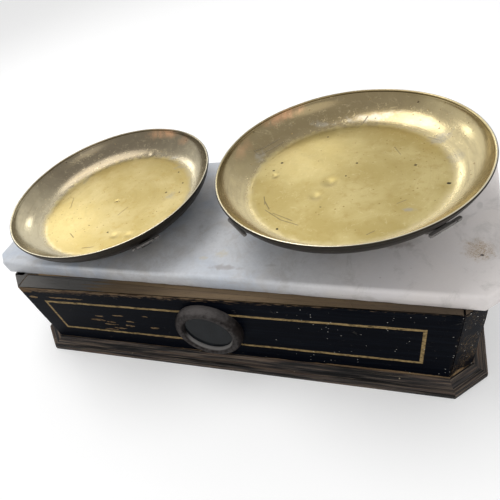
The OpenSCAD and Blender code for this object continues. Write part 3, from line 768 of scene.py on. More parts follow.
def makeMarble():
    material, tree, shader = newMaterial("marble", shine=0.35)
    point = pointFrom(tree)
    z = pieceOf(point, 2)
    clouds = noise(point, 0.012, 4.0, 0.5, 0.6)
    warmth = noise(vectorCalc("ADD", point, (300, 70, 0)), 0.02, 3.0)
    fine = noise(point, 0.5, 4.0, 0.6)
    # veins: thin bands where a bent noise crosses its middle value
    vein = noise(stretched(point, (0.8, 1.5, 1)), 0.011, 5.0, 0.6, 1.1)
    vein = ranged(calc("ABSOLUTE", minus(vein, 0.5)), 0.0, 0.028, 1.0, 0.0)
    colour = mixed(ranged(clouds, 0.38, 0.66), slab["white"], slab["cool"])
    colour = mixed(times(ranged(warmth, 0.5, 0.72), 0.6), colour, slab["warm"])
    colour = mixed(times(vein, ranged(clouds, 0.4, 0.7, 0.0, 0.3)), colour, slab["vein"])
    colour = mixed(ranged(fine, 0.4, 0.7, 0.0, 0.22), colour, slab["grain"])
    dapple = noise(vectorCalc("ADD", point, (90, 10, 0)), 0.13, 4.0, 0.6)
    colour = mixed(ranged(dapple, 0.42, 0.7, 0.0, 0.28), colour, slab["dapple"])
    # paler and warmer towards the right end: a warmer tone, made paler as painted light against the pans'
    # shadow
    toRight = plus(pieceOf(point, 0), times(clouds, 60.0))
    colour = mixed(ranged(toRight, 60.0, 210.0, 0.0, 0.75), colour, slab["litWarmRight"])
    scuffs = noise(stretched(point, (1, 0.7, 1)), 0.05, 6.0, 0.7, 0.5)
    colour = mixed(ranged(scuffs, 0.5, 0.66, 0.0, 0.42), colour, slab["scuff"])
    # a grainy rust patch near the front right corner, then the listed stains, the brown one under the right
    # pan being painted shade, and small pits
    rust = spots(point, slab["rustSpots"], Ragged=0.8, Soft=0.8, Grain=0.25)
    grains = ranged(noise(point, 1.1, 4.0, 0.7), 0.46, 0.6)
    colour = mixed(times(rust, plus(0.3, times(grains, 0.65))), colour, slab["rust"])
    for stain, strength, ragged, soft, grain, rows in slab["stains"]:
        mask = spots(point, rows, Ragged=ragged, Soft=soft, Grain=grain)
        colour = mixed(times(mask, strength), colour, stain)
    pits = effect(pitMarks, Vector=point, Spacing=9.0, Size=0.07, Share=0.45)
    colour = mixed(times(pits, 0.6), colour, slab["pit"])
    # darker in patches towards the lower edge
    low = ranged(z, slab["low"], slab["low"] + 7.0, 0.35, 0.0)
    lowEdgeDark = ranged(noise(stretched(point, (0.05, 0.05, 0.4)), 1.0, 4.0), 0.35, 0.65)
    colour = mixed(times(low, lowEdgeDark), colour, slab["lowEdgeDark"])
    rough = ranged(fine, 0.3, 0.7, 0.3, 0.48)
    finishMaterial(shader, colour, rough, minus(times(fine, 0.15), pits), 0.0002)
    return material


def cutRectangle(halfX, halfY, cut):
    return [(-halfX + cut, -halfY), (halfX - cut, -halfY), (halfX, -halfY + cut), (halfX, halfY - cut),
        (halfX - cut, halfY), (-halfX + cut, halfY), (-halfX, halfY - cut), (-halfX, -halfY + cut)]


slabCorners = cutRectangle(slab["halfX"], slab["halfY"], slab["cut"])
slabShell = prismShell(slabCorners, slab["low"], slab["high"], planRadius=slab["planRadius"],
    arris=slab["arris"], spacing=7, dents=slab["dents"], lowArris=slab["lowArris"], seed=31)
slabShell["grid"] = turnedPoints(slabShell["grid"], slab["turn"], slab["shift"])
stemCut = cylinder(slab["holeRadius"], slab["low"] - slab["holeOver"], slab["high"] + slab["holeOver"], 64)
stemCuts = [surfaceMesh("stemCut", [{"grid": stemCut + np.array([side * slab["armLength"], 0, 0])}])
    for side in (-1, 1)]
slabMesh = drilled(surfaceMesh("slab_marble", [slabShell]), stemCuts)
placePiece("slab_marble", slabMesh, "case", ["marble_slab"], makeMarble(), 40)
print("slab made")


# pans

pan = {
    "radius": 102.0, "floorRadius": 76.0, "depth": 20.0, "sheet": 1.2, "rim": 1.1, "curve": 1.6,
    "seat": 0.02, "turns": 288,
    # waves round the rim: height, how many, and where they start
    "waves": [(0.12, 3, 0.7), (0.07, 7, 2.0), (0.04, 17, 0.0)],
    # next line: a pale painted highlight for the rim, then two near-black browns that paint the shade on the
    # pans' outside
    "rimHighlight": (0.62, 0.57, 0.44), "outside": (0.016, 0.014, 0.012), "shadedOutsideLight": (0.045, 0.038, 0.028),
    # on the next line, the pale gold after the spinning rings is a painted floor reflection
    "ring": (0.38, 0.29, 0.12), "floorReflection": (0.80, 0.66, 0.30), "sweep": (0.25, 0.20, 0.12),
    "mottle": (0.24, 0.20, 0.13), "dust": (0.30, 0.22, 0.09), "speckle": (0.26, 0.17, 0.055),
    # the last colour on the next line is for painted copper-coloured reflections
    "coarse": (0.08, 0.06, 0.04), "stain": (0.33, 0.31, 0.26), "warm": (0.56, 0.32, 0.18),
    "pit": (0.035, 0.028, 0.02), "cut": (0.22, 0.19, 0.14), "hair": (0.8, 0.7, 0.45),
}
panMarks = {
    # dents: place, half width and depth; pits: place and half sizes; stains and warm patches (painted copper
    # reflections): the same and a strength; scratches: from and to; lastly the way towards the wall's
    # tarnished side, which is also darkened there as painted shade
    "left": {
        "centre": (-113.0, 0.0, 122.733),
        "gold": (0.47, 0.365, 0.135), "paleGold": (0.55, 0.45, 0.21),
        # the last colour on the next line is tarnish darkened as painted shade, and the one after it a
        # painted lit gold
        "deepGold": (0.43, 0.295, 0.075), "tarnishAndShade": (0.155, 0.128, 0.088),
        "litWallGold": (0.60, 0.53, 0.36),
        "dents": [
            (-0.8, 0.7, 1.9, 0.6), (23.3, -50.0, 3.4, 0.7), (38.2, -49.1, 3.0, 0.6),
            (5.0, 81.0, 2.6, 0.5), (-22.0, -34.0, 9.0, 0.25),
        ],
        "pits": [
            ((52, 46, 0), (1.3, 1.1, 5)), ((64, 27, 0), (1.2, 1.0, 5)),
            ((-0.8, 0.7, 0), (0.9, 0.9, 5)), ((13, -46, 0), (1.4, 1.0, 5)),
            ((66, 12, 0), (1.0, 1.0, 5)), ((3.0, 84.0, 8), (1.4, 1.4, 5)),
        ],
        "stains": [
            ((58, 6, 0), (9, 7, 5), 0.5), ((50, 55, 0), (8, 5, 8), 0.5),
            ((35, 72, 0), (9, 3, 8), 0.5), ((-62, 40, 0), (5, 12, 8), 0.3),
        ],
        "scratches": [
            ((11.8, -21.3, 0), (17.3, -9.3, 0)), ((-30, -48, 0), (-22, -54, 0)),
            ((-4, -68, 0), (8, -66, 0)), ((-60, 8, 0), (-54, -8, 0)),
        ],
        # the warm patches are painted copper-coloured reflections
        "warm": [((22, 96, 18), (34, 8, 7), 0.9), ((44, 84, 15), (16, 6, 7), 0.45)],
        # then the centre and strength of a painted reflection on the floor
        "speckle": (-50.0, -28.0, 0.0), "reflectionSpot": (-44.0, -38.0, 0.0), "reflectionShare": 0.42,
        "tarnishShadeWay": (-0.42, 0.90, 0.0),
    },
    "right": {
        "centre": (113.0, 0.0, 140.307),
        "gold": (0.395, 0.31, 0.115), "paleGold": (0.49, 0.405, 0.185),
        # the last colour on the next line is tarnish darkened as painted shade, and the one after it a
        # painted lit gold
        "deepGold": (0.34, 0.245, 0.075), "tarnishAndShade": (0.21, 0.165, 0.09),
        "litWallGold": (0.66, 0.555, 0.31),
        "dents": [
            (-11.3, -5.4, 4.2, 1.1), (-19.9, -23.2, 3.6, 0.8), (-59.2, 6.1, 2.4, 0.7),
            (-26.0, 40.0, 12.0, 0.5), (-84.0, 22.0, 5.0, 0.9), (-80.0, 46.0, 4.5, 0.8),
            (-89.0, 2.0, 4.5, 0.8),
        ],
        "pits": [
            ((-57, 25, 0), (1.6, 1.3, 5)), ((7.1, 19.1, 0), (1.3, 1.1, 5)),
            ((0.3, 1.8, 0), (1.0, 0.9, 5)), ((-22.4, 62.2, 0), (1.3, 1.1, 5)),
            ((-42.5, -61.4, 0), (1.3, 1.1, 5)), ((73.9, -12, 2), (2.0, 1.5, 5)),
            ((-62, 14, 0), (1.3, 1.1, 5)),
        ],
        "stains": [
            ((48.8, -41.5, 0), (6, 3, 5), 0.75), ((68.7, 45, 3), (13, 8, 9), 0.55),
            ((78.7, 18.9, 4), (8, 10, 9), 0.4), ((10, 84, 6), (26, 5, 8), 0.5),
            ((-30, 80, 6), (14, 4, 8), 0.45), ((-78, 30, 6), (5, 12, 8), 0.5),
        ],
        "scratches": [
            ((35, 39, 0), (40, 28, 0)), ((-57, -39, 0), (-42, -51, 0)),
            ((-42, -51, 0), (-27.5, -57, 0)), ((-50, -43, 0), (-33, -52, 0)),
            ((22, -67, 0), (27, -63, 0)), ((-84, 36, 0), (-66, 58, 0)),
            ((-80, 34, 0), (-62, 56, 0)), ((-84, 36, 0), (-80, 34, 0)), ((2, 74, 0), (10, 86, 0)),
            ((-62, -22, 0), (-59, -32, 0)), ((-60, -28, 0), (-54, -38, 0)),
            ((60, 50, 0), (68, 44, 0)), ((40, -34, 0), (46, -30, 0)),
        ],
        # the warm patches are painted copper-coloured reflections
        "warm": [((-64, 74, 18), (32, 24, 6), 0.95), ((-92, 32, 14), (8, 24, 8), 0.4)],
        # then the centre and strength of a painted reflection on the floor
        "speckle": (64.0, 34.0, 0.0), "reflectionSpot": (-34.0, 36.0, 0.0), "reflectionShare": 0.3,
        "tarnishShadeWay": (-0.38, 0.92, 0.0),
    },
}


def makePanBrass(marks):
    material, tree, shader = newMaterial("panBrass", metallic=1.0)
    point = pointFrom(tree, marks["centre"])
    flat = stretched(point, (1, 1, 0))
    radius = vectorCalc("LENGTH", flat)
    inside = attribute(tree, "inside")
    clouds = noise(point, 0.025, 4.0, 0.55, 0.4)
    mottle = noise(point, 0.16, 5.0, 0.6)
    fine = noise(point, 1.2, 3.0, 0.6)
    # rings left by spinning: noise over the radius alone, nearly constant round the pan
    x, y = pieceOf(point, 0), pieceOf(point, 1)
    rings = noise(joined(times(radius, 0.9), times(x, 0.01), 0.0), 1.0, 3.0)
    floor = mixed(ranged(clouds, 0.35, 0.68), marks["gold"], marks["paleGold"])
    floor = mixed(ranged(mottle, 0.5, 0.72, 0.0, 0.45), floor, marks["deepGold"])
    floor = mixed(ranged(rings, 0.45, 0.7, 0.0, 0.2), floor, pan["ring"])
    # painted reflection: paler gold over a patch of the floor, fading away from its centre
    floorReflection = ranged(farFrom(flat, marks["reflectionSpot"]), 8.0, 58.0, marks["reflectionShare"], 0.0)
    floor = mixed(times(floorReflection, ranged(mottle, 0.3, 0.6, 0.6, 1.0)), floor, pan["floorReflection"])
    # walls: brown tarnish towards the back left, darkened further there as painted shade, and brighter gold
    # to the front right as a painted reflection
    towards = vectorCalc("DOT_PRODUCT", flat, marks["tarnishShadeWay"])
    tarnishShade = times(minus(clouds, 0.5), 0.7)
    tarnishShade = plus(calc("DIVIDE", towards, 100.0), tarnishShade)
    wall = mixed(ranged(tarnishShade, -0.25, 0.85), marks["litWallGold"], marks["tarnishAndShade"])
    sweep = joined(times(radius, 0.16), times(x, 0.012), times(y, 0.012))
    sweep = noise(sweep, 1.0, 5.0, 0.6)
    wall = mixed(ranged(sweep, 0.45, 0.7, 0.0, 0.4), wall, pan["sweep"])
    wall = mixed(ranged(mottle, 0.5, 0.8, 0.0, 0.2), wall, pan["mottle"])
    edge = plus(radius, times(minus(mottle, 0.5), 9.0))
    colour = mixed(ranged(edge, 73.0, 82.0), floor, wall)
    # speckles, thickest about one place on the floor
    cloudy = ranged(clouds, 0.45, 0.65, 0.03, 0.2)
    dust = effect(pitMarks, Vector=point, Spacing=2.3, Size=0.22, Share=cloudy)
    colour = mixed(times(dust, 0.4), colour, pan["dust"])
    near = ranged(farFrom(flat, marks["speckle"]), 10.0, 62.0, 0.65, 0.10)
    speckle = effect(pitMarks, Vector=point, Spacing=2.8, Size=0.24, Share=near)
    coarse = effect(pitMarks, Vector=point, Spacing=15.0, Size=0.08, Share=0.5)
    colour = mixed(times(speckle, 0.5), colour, pan["speckle"])
    colour = mixed(times(coarse, 0.8), colour, pan["coarse"])
    for place, size, strength in marks["stains"]:
        stain = spots(point, [(place, size)], Ragged=1.1, Soft=0.8, Grain=0.2)
        colour = mixed(times(stain, strength), colour, pan["stain"])
    # warm patches: painted copper-coloured reflections on the upper walls and rims
    for place, size, strength in marks["warm"]:
        reflectionSpot = spots(point, [(place, size)], Ragged=0.9, Soft=1.2, Grain=0.08)
        colour = mixed(times(reflectionSpot, strength), colour, pan["warm"])
    pits = spots(point, marks["pits"], Ragged=0.5, Soft=0.4, Grain=0.8)
    colour = mixed(pits, colour, pan["pit"])
    cuts = lines(flat, marks["scratches"], 0.45)
    colour = mixed(times(cuts, 0.5), colour, pan["cut"])
    hairs = effect(scratchMarks, Vector=point, Length=22.0, Gap=2.4, Width=0.03, Share=0.44)
    colour = mixed(times(hairs, 0.16), colour, pan["hair"])
    # painted highlight: a pale line round the top of the rim
    rimStart = pan["radius"] - 1.4
    colour = mixed(ranged(radius, rimStart, rimStart + 0.3), colour, pan["rimHighlight"])
    # the outside faces: near-black brown, painted shade under the pan
    outside = mixed(mottle, pan["outside"], pan["shadedOutsideLight"])
    colour = mixed(inside, outside, colour)
    floorRough = plus(0.33, times(clouds, 0.18))
    wallRough = plus(0.15, times(sweep, 0.14))
    rough = blended(ranged(edge, 72.0, 84.0), floorRough, wallRough)
    rough = plus(rough, times(highest([speckle, coarse, pits, cuts]), 0.3))
    rough = blended(inside, 0.5, rough)
    height = plus(times(rings, 0.12), times(fine, 0.06))
    sunk = highest([pits, cuts, coarse, times(speckle, 0.3), times(hairs, 0.12)])
    height = minus(height, times(sunk, 0.6))
    finishMaterial(shader, colour, rough, height, 0.0003)
    return material


def wallPoint(t, run, rise):
    # from the edge of the floor to the rim: sine and cosine of a quarter turn raised to two over
    # the roundness
    power = 2 / pan["curve"]
    out = pan["floorRadius"] + run * np.sin(t * np.pi / 2) ** power
    return np.stack([out, rise * (1 - np.cos(t * np.pi / 2) ** power)], axis=-1)


def panShell(marks):
    wallRun = pan["radius"] - pan["rim"] - pan["floorRadius"]
    rise = pan["depth"] + pan["sheet"]
    under = np.stack([np.linspace(0, pan["floorRadius"], 16), np.zeros(16)], axis=-1)
    outer = wallPoint(np.linspace(0.02, 0.93, 22), wallRun + pan["sheet"] / 2, rise)
    a = np.radians(np.linspace(-60, 236, 16))
    rimX = pan["radius"] - pan["rim"] + pan["rim"] * np.cos(a)
    rim = np.stack([rimX, rise + pan["rim"] * np.sin(a)], axis=-1)
    inner = wallPoint(np.linspace(0.93, 0.0, 30), wallRun - pan["sheet"] / 2, pan["depth"])
    inner = inner + [0, pan["sheet"]]
    floor = np.stack([np.linspace(pan["floorRadius"], 0, 78)[1:], np.full(77, pan["sheet"])], axis=-1)
    grid = revolved(np.concatenate([under, outer, rim, inner, floor]), pan["turns"])
    # 1 on the faces that show from above, from just before the top of the rim
    hidden, shown = np.zeros(len(under) + len(outer)), np.ones(len(inner) + len(floor))
    inside = np.concatenate([hidden, np.linspace(0, 1, len(rim)) > 0.45, shown])[:, None]
    x, y = grid[..., 0], grid[..., 1]
    radius = np.hypot(x, y)
    # the floor and wall wave a little, and each dent is a bell curve with a faint ring round it
    sunk = 0.10 * latticeNoise(grid * [1, 1, 0], 26.0, 41) + 0.05 * latticeNoise(grid * [1, 1, 0], 11.0, 42)
    for dx, dy, width, depth in marks["dents"]:
        away = np.hypot(x - dx, y - dy) / width
        sunk = sunk - depth * np.exp(-away ** 2) + 0.12 * depth * np.exp(-(away - 1.9) ** 2 / 0.4)
    grid[..., 2] += np.where(inside > 0, np.clip(sunk, -1.1, 0.4) * (1 - smoothRise(92.0, 99.0, radius)), 0)
    # the rim follows sines of the angle, rising in over the last millimetres of the wall
    angle = np.arctan2(y, x)
    wave = sum(high * np.sin(count * angle + start) for high, count, start in pan["waves"])
    grid[..., 2] += (wave - 0.05) * smoothRise(97.0, 101.0, radius)
    return {"grid": grid + np.array(marks["centre"]), "inside": inside}


for side, marks in panMarks.items():
    name = side + "_pan"
    mesh = surfaceMesh(name, [panShell(marks)])
    placePiece(name + "_brass", mesh, name, [name], makePanBrass(marks), 60)
print("pans made")


# spiders under the pans

spider = {
    "armWidth": 10.0, "armSheet": 3.0, "panGap": 0.4,
    "barLength": 26.0, "barWidth": 3.0, "barHigh": 2.0, "barTop": 11.5,
    "hubRadius": 15.0, "hubHigh": 13.5, "boreRadius": 5.05, "roof": 3.0,
    "iron": (0.008, 0.0078, 0.0078), "rust": (0.028, 0.019, 0.014), "bright": (0.17, 0.16, 0.15),
}


def makeIron(name, base, rust, bright):
    material, tree, shader = newMaterial(name, metallic=0.55)
    point = pointFrom(tree)
    mottle, fine = noise(point, 0.22, 5.0, 0.65), noise(point, 1.6, 3.0)
    gap = attribute(tree, "edgeGap")
    worn = effect(edgeWear, Gap=gap, Vector=point, Reach=1.0, Size=3.0, Share=0.45)
    colour = mixed(ranged(mottle, 0.48, 0.68), base, rust)
    colour = mixed(worn, colour, bright)
    height = plus(times(mottle, 0.5), times(fine, 0.5))
    finishMaterial(shader, colour, ranged(mottle, 0.3, 0.7, 0.42, 0.68), height, 0.0004)
    return material


def wallBelow():
    # run and rise of the pan's underside, and the share of its quarter turn at which the crossbars'
    # top is reached
    run = pan["radius"] - pan["rim"] - pan["floorRadius"] + pan["sheet"] / 2
    rise = pan["depth"] + pan["sheet"]
    return run, rise, math.acos((1 - spider["barTop"] / rise) ** (pan["curve"] / 2)) / (math.pi / 2)


def armShell(degrees, centre):
    # a strap from the hub outwards, flat and then bent up along the pan's wall: its upper face,
    # then its lower one
    wallRun, rise, tip = wallBelow()
    t = np.linspace(0.05, tip, 14)
    slope = wallPoint(t + 0.01, wallRun, rise) - wallPoint(t - 0.01, wallRun, rise)
    away = np.stack([slope[:, 1], -slope[:, 0]], axis=-1) / np.linalg.norm(slope, axis=1)[:, None]
    flatPart = np.stack([np.linspace(6, pan["floorRadius"], 12), np.zeros(12)], axis=-1)
    top = np.concatenate([flatPart, wallPoint(t, wallRun, rise) + away * spider["panGap"]])
    away = np.concatenate([np.repeat([[0.0, -1.0]], 12, axis=0), away])
    # places across the strap, and how far its faces are rounded off there
    width = np.array([-5.0, -4.9, -4.65, -4.2, -2, 0, 2, 4.2, 4.65, 4.9, 5.0]) * spider["armWidth"] / 10
    inset = np.array([0.7, 0.35, 0.1, 0, 0, 0, 0, 0, 0.1, 0.35, 0.7])[:, None, None]
    upper = top + away * inset
    lower = (top + away * spider["armSheet"])[::-1] - away[::-1] * inset
    loop = np.concatenate([upper, lower], axis=1)
    grid = np.stack([loop[..., 0], np.broadcast_to(width[:, None], loop.shape[:2]), loop[..., 1]], axis=-1)
    gap = np.broadcast_to((spider["armWidth"] / 2 - np.abs(width))[:, None], loop.shape[:2])
    return {"grid": turnedPoints(grid, degrees, centre), "edgeGap": gap, "capped": True}


def crossbarShell(degrees, centre):
    wallRun, rise, tip = wallBelow()
    inner = wallPoint(np.array([tip]), wallRun, rise)[0, 0] + spider["panGap"]
    outer, half, top = inner + spider["barWidth"], spider["barLength"] / 2, spider["barTop"]
    corners = [(inner, -half), (outer, -half), (outer, half), (inner, half)]
    shell = prismShell(corners, top - spider["barHigh"], top, planRadius=1.2, arris=0.5, spacing=2)
    shell["grid"] = turnedPoints(shell["grid"], degrees, centre)
    return shell


def hubShell(centre):
    # turned block with a rounded rim and a blind bore for the stem
    r, low, bore = spider["hubRadius"], -spider["hubHigh"], spider["boreRadius"]
    profile = filledPath([(0, -0.3), (r - 1.2, -0.3), (r - 0.35, -0.65), (r, -1.5),
        (r, low + 1.5), (r - 0.35, low + 0.35), (r - 1.2, low), (bore + 0.5, low), (bore, low + 0.5),
        (bore, -spider["roof"]), (0, -spider["roof"])], 2.5)
    grid = revolved(profile, 96)
    ripple = 0.12 * latticeNoise(grid, 3.5, 51) * (np.hypot(grid[..., 0], grid[..., 1]) > bore + 1)
    grid[..., :2] *= (1 - np.clip(ripple, 0, 1) / r)[..., None]
    return {"grid": grid + np.array(centre)}


blackIron = makeIron("blackIron", spider["iron"], spider["rust"], spider["bright"])
for side, marks in panMarks.items():
    seat = np.array(marks["centre"]) - [0, 0, pan["seat"]]
    shells = [hubShell(seat)]
    for degrees in (45, 135, 225, 315):
        shells += [armShell(degrees, seat), crossbarShell(degrees, seat)]
    name = side + "_spider"
    placePiece(name + "_iron", surfaceMesh(name, shells), side + "_carrier", [name], blackIron)
print("spiders made")


# window

bezel = {
    "outer": 32.0, "high": 10.0, "crest": 27.4, "opening": 22.6, "rebate": 23.9, "lip": 5.6, "shoulder": 2.5,
    # the pale greys paint highlights where the ring faces up and on its inner lip; the first is also the
    # rubbed crest's colour
    "dark": (0.004, 0.0036, 0.0038), "brown": (0.020, 0.016, 0.0155), "dust": (0.15, 0.138, 0.134),
    "grain": (0.035, 0.026, 0.022), "lipHighlight": (0.26, 0.25, 0.24),
}


def makeTurnedWood():
    material, tree, shader = newMaterial("turnedWood", shine=0.04)
    point = pointFrom(tree, (0.0, -case["halfY"], case["windowZ"]))
    radius = vectorCalc("LENGTH", stretched(point, (1, 0, 1)))
    out = pieceOf(point, 1)
    along = times(pieceOf(point, 0), 0.05)
    path = joined(along, times(radius, 1.3), times(out, 1.3))
    rings = noise(path, 1.0, 4.0, 0.6)
    grain = effect(woodGrain, Vector=point, Length=18.0, Width=0.9)
    colour = mixed(ranged(rings, 0.4, 0.66), bezel["dark"], bezel["brown"])
    colour = mixed(times(grain, 0.25), colour, bezel["grain"])
    # painted highlight: pale grey where the ring faces up and on its upward-facing inner lip; the crest is
    # rubbed
    lifted = pieceOf(addNode(tree, "ShaderNodeNewGeometry").outputs["Normal"], 2)
    patchy = times(minus(noise(point, 0.25, 5.0, 0.65), 0.5), 0.9)
    dusty = ranged(plus(lifted, patchy), 0.3, 1.05)
    colour = mixed(times(dusty, 0.6), colour, bezel["dust"])
    # painted highlight on the inner lip where it faces up
    lip = ranged(radius, bezel["opening"] + 0.4, bezel["opening"] + 1.6, 0.8, 0.0)
    lip = times(lip, ranged(lifted, 0.0, 0.5))
    colour = mixed(lip, colour, bezel["lipHighlight"])
    worn = plus(times(out, -0.1), times(noise(point, 0.3, 4.0), 0.8))
    colour = mixed(times(ranged(worn, 1.2, 1.5), 0.3), colour, bezel["dust"])
    rough = ranged(rings, 0.3, 0.7, 0.38, 0.6)
    finishMaterial(shader, colour, rough, plus(rings, times(grain, 0.3)), 0.0005)
    return material


def bezelShell():
    # a rounded ring turned on a lathe, with shallow grooves that follow the sine of the way round
    # its section
    a = np.radians(np.linspace(0, 90, 26))
    crest, outer, high, shoulder = bezel["crest"], bezel["outer"], bezel["high"], bezel["shoulder"]
    opening, rebate, lipHigh = bezel["opening"], bezel["rebate"], bezel["lip"]
    back = filledPath([(rebate, 0), (outer, 0)], 2)
    x, z = crest + (outer - crest) * np.cos(a), shoulder + (high - shoulder) * np.sin(a)
    outside = np.stack([x, z], axis=-1)
    a = a[1:]
    x, z = crest - (crest - opening) * np.sin(a), high - (high - lipHigh - 0.5) * (1 - np.cos(a))
    inward = np.stack([x, z], axis=-1)
    lip = filledPath([(opening, lipHigh), (rebate, lipHigh), (rebate, 1.0)], 1.5)
    profile = np.concatenate([back, outside, inward, lip])
    grid = revolved(profile, 192)
    s = np.arange(len(profile))[:, None]
    show = (s > len(back) + 2) & (s < len(back) + len(outside) + len(inward) - 3)
    groove = 0.07 * np.sin(s * 1.9) + 0.05 * np.sin(s * 0.8 + 1) + 0.06 * latticeNoise(grid, 5.0, 61)
    groove = groove * show
    shrink = 1 - np.clip(groove + 0.12, 0, 1) / outer
    grid[..., :2] *= shrink[..., None]
    x, y, z = grid[..., 0], -case["halfY"] - grid[..., 2], case["windowZ"] + grid[..., 1]
    return {"grid": np.stack([x, y, z], axis=-1), "closedRows": True}


turnedWood = makeTurnedWood()
bezelMesh = surfaceMesh("window_bezel_turned", [bezelShell()])
placePiece("window_bezel_turned", bezelMesh, "case", ["window_bezel"], turnedWood, 40)
print("bezel made")


# finishes of the pieces that keep their own shape

# the glass is tinted near black as painted shade of the unlit inside
glass = {"dark": (0.004, 0.006, 0.008), "light": (0.010, 0.013, 0.016), "through": 0.25}
card = {
    "pale": (0.55, 0.48, 0.34), "stained": (0.40, 0.31, 0.19), "ink": (0.02, 0.02, 0.02),
    "step": 2.5, "tickShare": 0.07, "tickHalf": 2.2, "rowZ": 41.0, "rowHalf": 13.0,
}
felt = {"dark": (0.05, 0.035, 0.025), "light": (0.13, 0.09, 0.06)}


def makeGlass():
    material, tree, shader = newMaterial("shadeDarkGlass", shine=0.02)
    point = pointFrom(tree)
    smear, fine = noise(point, 0.08, 4.0), noise(point, 0.9, 3.0)
    shader.inputs["Transmission Weight"].default_value = glass["through"]
    shader.inputs["IOR"].default_value = 1.5
    # near-black tint: painted shade of the dark inside behind the glass
    colour = mixed(ranged(smear, 0.35, 0.7), glass["dark"], glass["light"])
    finishMaterial(shader, colour, ranged(smear, 0.3, 0.7, 0.06, 0.26), fine, 0.00005)
    return material


def makePlainWood(name, dark, light, length=60.0, width=1.6):
    material, tree, shader = newMaterial(name)
    point = pointFrom(tree)
    grain = effect(woodGrain, Vector=point, Length=length, Width=width)
    fibre = effect(woodGrain, "Height", Vector=point, Length=length * 0.6, Width=width * 0.5)
    colour = mixed(grain, dark, light)
    patchy = ranged(noise(point, 0.04, 4.0), 0.5, 0.75, 0.0, 0.5)
    colour = mixed(patchy, colour, tuple(c * 0.45 for c in dark))
    finishMaterial(shader, colour, ranged(grain, 0, 1, 0.6, 0.78), fibre, 0.0004)
    return material


def makeMetal(name, base, other, rough, stretch=(1, 1, 1), metallic=1.0):
    material, tree, shader = newMaterial(name, metallic=metallic)
    point = pointFrom(tree)
    brushed = noise(stretched(point, stretch), 1.5, 4.0, 0.6)
    mottle = noise(point, 0.12, 4.0)
    hairs = effect(scratchMarks, Vector=point, Length=9.0, Gap=1.2, Width=0.05, Share=0.45)
    colour = mixed(ranged(mottle, 0.4, 0.7), base, other)
    colour = mixed(times(hairs, 0.25), colour, tuple(min(1, c * 1.6) for c in base))
    rough = ranged(brushed, 0.3, 0.7, rough - 0.08, rough + 0.12)
    finishMaterial(shader, colour, rough, plus(brushed, hairs), 0.0001)
    return material


def makeCard():
    # buff card with a row of plain ticks: dark where the way along the plate is near a whole step
    material, tree, shader = newMaterial("indexCard")
    point = pointFrom(tree)
    x, z = pieceOf(point, 0), pieceOf(point, 2)
    step = calc("FRACT", plus(calc("DIVIDE", x, card["step"]), 0.5))
    step = calc("ABSOLUTE", minus(step, 0.5))
    up = calc("ABSOLUTE", minus(z, card["rowZ"]))
    tick = calc("LESS_THAN", step, card["tickShare"])
    tick = times(tick, calc("LESS_THAN", up, card["tickHalf"]))
    tick = times(tick, calc("LESS_THAN", calc("ABSOLUTE", x), card["rowHalf"]))
    paper = noise(point, 0.8, 5.0)
    stain = ranged(noise(point, 0.1, 4.0), 0.35, 0.7)
    colour = mixed(stain, card["pale"], card["stained"])
    colour = mixed(tick, colour, card["ink"])
    finishMaterial(shader, colour, ranged(paper, 0.3, 0.7, 0.7, 0.9), paper, 0.0001)
    return material


def makeFelt():
    material, tree, shader = newMaterial("felt")
    point = pointFrom(tree)
    fuzz = noise(point, 2.5, 5.0, 0.7)
    colour = mixed(ranged(fuzz, 0.3, 0.7), felt["dark"], felt["light"])
    shader.inputs["Sheen Weight"].default_value = 0.3
    finishMaterial(shader, colour, ranged(fuzz, 0.3, 0.7, 0.85, 0.98), fuzz, 0.0006)
    return material


bareWood = makePlainWood("bareWood", (0.17, 0.10, 0.05), (0.34, 0.23, 0.12))
darkIron = makeMetal("darkIron", (0.03, 0.033, 0.03), (0.055, 0.05, 0.045), 0.5, metallic=0.5)
springSteel = makeMetal("springSteel", (0.42, 0.45, 0.49), (0.32, 0.34, 0.38), 0.28, (0.1, 0.1, 3))
steel = makeMetal("steel", (0.50, 0.49, 0.47), (0.36, 0.34, 0.31), 0.36, (1, 0.2, 1))
nutBrass = makeMetal("nutBrass", (0.56, 0.42, 0.16), (0.42, 0.29, 0.10), 0.33, (1, 1, 0.2))
finishes = [
    (makeGlass(), ["window_glass"]),
    (turnedWood, ["glass_retainer"]),
    (bareWood, ["top_board", "floor_board"]),
    (darkIron, ["bed_plate", "centre_stands", "centre_truss", "left_truss", "right_truss"]),
    (darkIron, ["left_yoke", "right_yoke", "upper_beam", "lower_beam", "index_bracket"]),
    (springSteel, ["centre_band", "left_band", "right_band"]),
    (steel, ["floor_screws", "bed_screws", "upper_screws", "lower_screws", "left_set_screw"]),
    (steel, ["right_set_screw", "centre_pins", "left_pins", "right_pins", "upper_clamps"]),
    (steel, ["lower_clamps", "left_stem", "right_stem", "pointer_arm", "pointer_needle", "poise_post"]),
    (nutBrass, ["sensitivity_poise", "left_collar", "right_collar"]),
    (makeCard(), ["index_plate"]),
    (makeFelt(), ["stop_pads"]),
]
for material, names in finishes:
    for name in names:
        for socket in cadNodes[name].material_slots:
            socket.material = material
print("finishes set")


# floor, light and camera

stageSet = {
    # the lamps' places, sizes and the floor's half width are in metres
    "floor": (0.86, 0.86, 0.86), "floorLift": 0.2, "floorHalf": 60.0, "world": 0.66, "aim": (0.0, 0.0, 0.08),
    "key": {"place": (-0.42, 0.30, 1.45), "size": 0.85, "power": 8.0},
    "fill": {"place": (0.75, -0.85, 0.95), "size": 0.9, "power": 2.0},
    "window": {"place": (-1.17, 0.78, 0.86), "size": 0.30, "power": 0.9},
    "back": {"place": (-0.24, 1.29, 0.90), "size": 0.22, "power": 0.5},
}


def seenRays(tree):
    # 1 for rays from the camera, and for those that a mirror or glass sends on
    rays = addNode(tree, "ShaderNodeLightPath").outputs
    return highest([rays["Is Camera Ray"], rays["Is Glossy Ray"], rays["Is Transmission Ray"]])


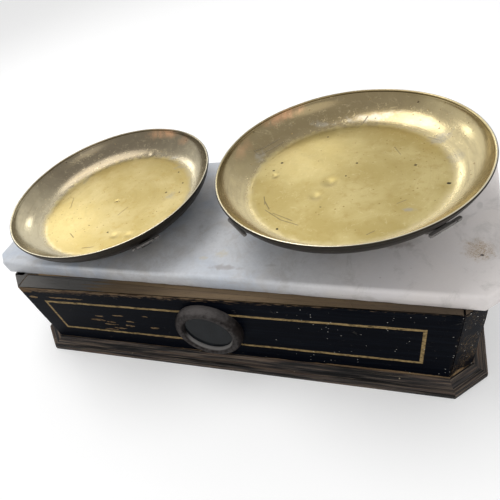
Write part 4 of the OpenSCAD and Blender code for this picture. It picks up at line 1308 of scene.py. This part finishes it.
floorMesh = bpy.data.meshes.new("studioFloor")
half = stageSet["floorHalf"]
floorCorners = [(-half, -half, 0), (half, -half, 0), (half, half, 0), (-half, half, 0)]
floorMesh.from_pydata(floorCorners, [], [(0, 1, 2, 3)])
floorPiece = newObject("studioFloor", floorMesh)
floorMaterial, floorTree, floorShader = newMaterial("studioFloor")
floorShader.inputs["Base Color"].default_value = (*stageSet["floor"], 1)
floorShader.inputs["Roughness"].default_value = 0.9
floorShader.inputs["Specular IOR Level"].default_value = 0.1
floorShader.inputs["Emission Color"].default_value = (1, 1, 1, 1)
lift = times(seenRays(floorTree), stageSet["floorLift"])
floorTree.links.new(lift, floorShader.inputs["Emission Strength"])
floorMesh.materials.append(floorMaterial)

world = bpy.data.worlds.new("studio")
bpy.context.scene.world = world
world.use_nodes = True
sky = world.node_tree.nodes["Background"]
sky.inputs["Color"].default_value = (1, 1, 1, 1)
strength = blended(seenRays(world.node_tree), stageSet["world"], 1.0)
world.node_tree.links.new(strength, sky.inputs["Strength"])

for name in ("key", "fill", "window", "back"):
    row = stageSet[name]
    lamp = bpy.data.lights.new(name, "AREA")
    lamp.shape = "DISK"
    lamp.size = row["size"]
    lamp.energy = row["power"]
    holder = newObject(name, lamp)
    holder.location = row["place"]
    # turned so that the lamp's own downward axis points at the aim
    x, y, z = np.array(stageSet["aim"]) - np.array(row["place"])
    holder.rotation_euler = (math.atan2(np.hypot(x, y), -z), 0, math.atan2(x, -y) + math.pi)

# fitted to the edges of the slab, the case and the pans in the photo; metres and degrees
camera = {
    "place": (0.15778, -0.29560, 0.34834), "turn": (41.956, 13.767, 16.205),
    "lens": 30.87, "sensor": 36, "shift": (0.030, 0.0873),
}
lens = bpy.data.cameras.new("camera")
lens.lens = camera["lens"]
lens.sensor_width = camera["sensor"]
lens.shift_x, lens.shift_y = camera["shift"]
lens.clip_start = 0.01
eye = newObject("camera", lens)
eye.location = camera["place"]
eye.rotation_euler = tuple(math.radians(a) for a in camera["turn"])
bpy.context.scene.camera = eye
bpy.context.scene.view_settings.view_transform = "Standard"
print("stage set")
